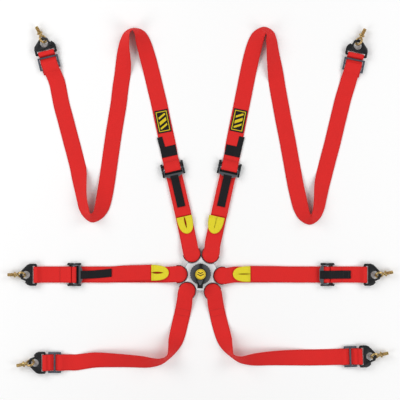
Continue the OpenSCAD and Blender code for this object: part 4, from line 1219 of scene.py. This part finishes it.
# Soft lights: name, place, size and power in watts
LIGHTS = (("key", (-2.0, 1.7, 1.9), 1.8, 40), ("fill", (2.1, -1.0, 1.9), 1.5, 27),
          ("left", (-2.2, -1.2, 1.9), 1.5, 27), ("right", (2.1, 1.7, 1.9), 1.5, 27))
WORLD_STRENGTH = 0.3
FLOOR_HALF = 8.0
FLOOR_Z = -0.0004
SENSOR = 36.0

def area_light(name, place, size, power):
    lamp = bpy.data.lights.new(name, "AREA")
    lamp.shape = "SQUARE"
    lamp.size = size
    lamp.energy = power
    light = bpy.data.objects.new(name, lamp)
    light.location = place
    aim = Vector((0.0, 0.2, 0.0)) - Vector(place)
    light.rotation_euler = aim.to_track_quat("-Z", "Y").to_euler()
    bpy.context.scene.collection.objects.link(light)


def make_stage():
    scene = bpy.context.scene
    stage = scene.harness_stage
    bm = bmesh.new()
    bmesh.ops.create_grid(bm, x_segments=1, y_segments=1, size=FLOOR_HALF)
    bmesh.ops.translate(bm, verts=bm.verts, vec=(0, 0, FLOOR_Z))
    mesh = bpy.data.meshes.new("floor")
    bm.to_mesh(mesh)
    bm.free()
    floor = bpy.data.objects.new("floor", mesh)
    scene.collection.objects.link(floor)
    paint = Paint("floor")
    mesh.materials.append(paint.finish(Base_Color=(*stage.floor, 1.0), Roughness=0.9))

    world = bpy.data.worlds.new("studio")
    scene.world = world
    world.use_nodes = True
    world.node_tree.nodes["Background"].inputs["Color"].default_value = (1.0, 1.0, 1.0, 1.0)
    world.node_tree.nodes["Background"].inputs["Strength"].default_value = WORLD_STRENGTH
    for name, place, size, power in LIGHTS:
        area_light(name, place, size, power)
    scene.view_settings.view_transform = "Standard"
    scene.view_settings.look = "None"

    data = bpy.data.cameras.new("camera")
    data.lens = stage.lens
    data.sensor_width = SENSOR
    camera = bpy.data.objects.new("camera", data)
    camera.location = (stage.centre_x, stage.centre_y, stage.view_width * stage.lens / data.sensor_width)
    scene.collection.objects.link(camera)
    scene.camera = camera


# ---------- operators, panel and registration ----------

class HarnessStraps(bpy.types.Operator):
    """Lay the red webbing: shoulder, lap and crotch straps and the anchor loops"""
    bl_idname = "harness.straps"
    bl_label = "Straps"

    def execute(self, context):
        make_straps()
        return {"FINISHED"}


class HarnessStitches(bpy.types.Operator):
    """Sew the ends of the straps with rows of thread"""
    bl_idname = "harness.stitches"
    bl_label = "Stitches"

    def execute(self, context):
        make_stitches()
        return {"FINISHED"}


class HarnessTabs(bpy.types.Operator):
    """Lay the black release tabs on the adjusters' levers"""
    bl_idname = "harness.tabs"
    bl_label = "Release tabs"

    def execute(self, context):
        make_tabs()
        return {"FINISHED"}


class HarnessLoops(bpy.types.Operator):
    """Fold the yellow pull loops on the straps' free ends"""
    bl_idname = "harness.loops"
    bl_label = "Pull loops"

    def execute(self, context):
        make_loops()
        return {"FINISHED"}


class HarnessLabels(bpy.types.Operator):
    """Add the woven labels and the black keepers of the shoulder straps"""
    bl_idname = "harness.labels"
    bl_label = "Labels and keepers"

    def execute(self, context):
        make_labels()
        return {"FINISHED"}


class HarnessBuckle(bpy.types.Operator):
    """Build the buckle's housing, back plate and latch"""
    bl_idname = "harness.buckle"
    bl_label = "Buckle"

    def execute(self, context):
        make_buckle()
        return {"FINISHED"}


class HarnessRelease(bpy.types.Operator):
    """Build the serrated knob, its handle and the badge"""
    bl_idname = "harness.release"
    bl_label = "Release knob"

    def execute(self, context):
        make_release()
        return {"FINISHED"}


class HarnessTongues(bpy.types.Operator):
    """Build the six tongues of the buckle"""
    bl_idname = "harness.tongues"
    bl_label = "Tongues"

    def execute(self, context):
        make_tongues()
        return {"FINISHED"}


class HarnessAdjusters(bpy.types.Operator):
    """Build the four lever adjusters with their springs"""
    bl_idname = "harness.adjusters"
    bl_label = "Adjusters"

    def execute(self, context):
        make_adjusters()
        return {"FINISHED"}


class HarnessSliders(bpy.types.Operator):
    """Build the four three-bar sliders"""
    bl_idname = "harness.sliders"
    bl_label = "Sliders"

    def execute(self, context):
        make_sliders()
        return {"FINISHED"}


class HarnessHooks(bpy.types.Operator):
    """Build the six snap hooks with their gates"""
    bl_idname = "harness.hooks"
    bl_label = "Snap hooks"

    def execute(self, context):
        make_hooks()
        return {"FINISHED"}


class HarnessEyeBolts(bpy.types.Operator):
    """Build the six eye bolts with their threads"""
    bl_idname = "harness.eye_bolts"
    bl_label = "Eye bolts"

    def execute(self, context):
        make_eye_bolts()
        return {"FINISHED"}


class HarnessStageSet(bpy.types.Operator):
    """Set up the floor, the lights and the camera"""
    bl_idname = "harness.stage"
    bl_label = "Stage"

    def execute(self, context):
        make_stage()
        return {"FINISHED"}


OPERATORS = (HarnessStraps, HarnessStitches, HarnessTabs, HarnessLoops, HarnessLabels, HarnessBuckle,
             HarnessRelease, HarnessTongues, HarnessAdjusters, HarnessSliders, HarnessHooks, HarnessEyeBolts,
             HarnessStageSet)


class HarnessPanel(bpy.types.Panel):
    """Lists the harness's sizes, colours and pieces"""
    bl_idname = "VIEW3D_PT_harness"
    bl_label = "Racing harness"
    bl_space_type = "VIEW_3D"
    bl_region_type = "UI"
    bl_category = "Harness"

    def draw(self, context):
        for group in ("harness_webbing", "harness_metal", "harness_stage"):
            settings = getattr(context.scene, group)
            box = self.layout.box()
            for name in settings.__annotations__:
                box.prop(settings, name)
        for operator in OPERATORS:
            self.layout.operator(operator.bl_idname)


CLASSES = (HarnessWebbing, HarnessMetal, HarnessStage, *OPERATORS, HarnessPanel)


def register():
    for cls in CLASSES:
        bpy.utils.register_class(cls)
    bpy.types.Scene.harness_webbing = PointerProperty(type=HarnessWebbing)
    bpy.types.Scene.harness_metal = PointerProperty(type=HarnessMetal)
    bpy.types.Scene.harness_stage = PointerProperty(type=HarnessStage)


def unregister():
    del bpy.types.Scene.harness_stage
    del bpy.types.Scene.harness_metal
    del bpy.types.Scene.harness_webbing
    for cls in reversed(CLASSES):
        bpy.utils.unregister_class(cls)


def main():
    register()
    bpy.ops.harness.straps()
    bpy.ops.harness.stitches()
    bpy.ops.harness.tabs()
    bpy.ops.harness.loops()
    bpy.ops.harness.labels()
    bpy.ops.harness.buckle()
    bpy.ops.harness.release()
    bpy.ops.harness.tongues()
    bpy.ops.harness.adjusters()
    bpy.ops.harness.sliders()
    bpy.ops.harness.hooks()
    bpy.ops.harness.eye_bolts()
    bpy.ops.harness.stage()
    bpy.context.view_layer.update()


if __name__ == "__main__":
    main()
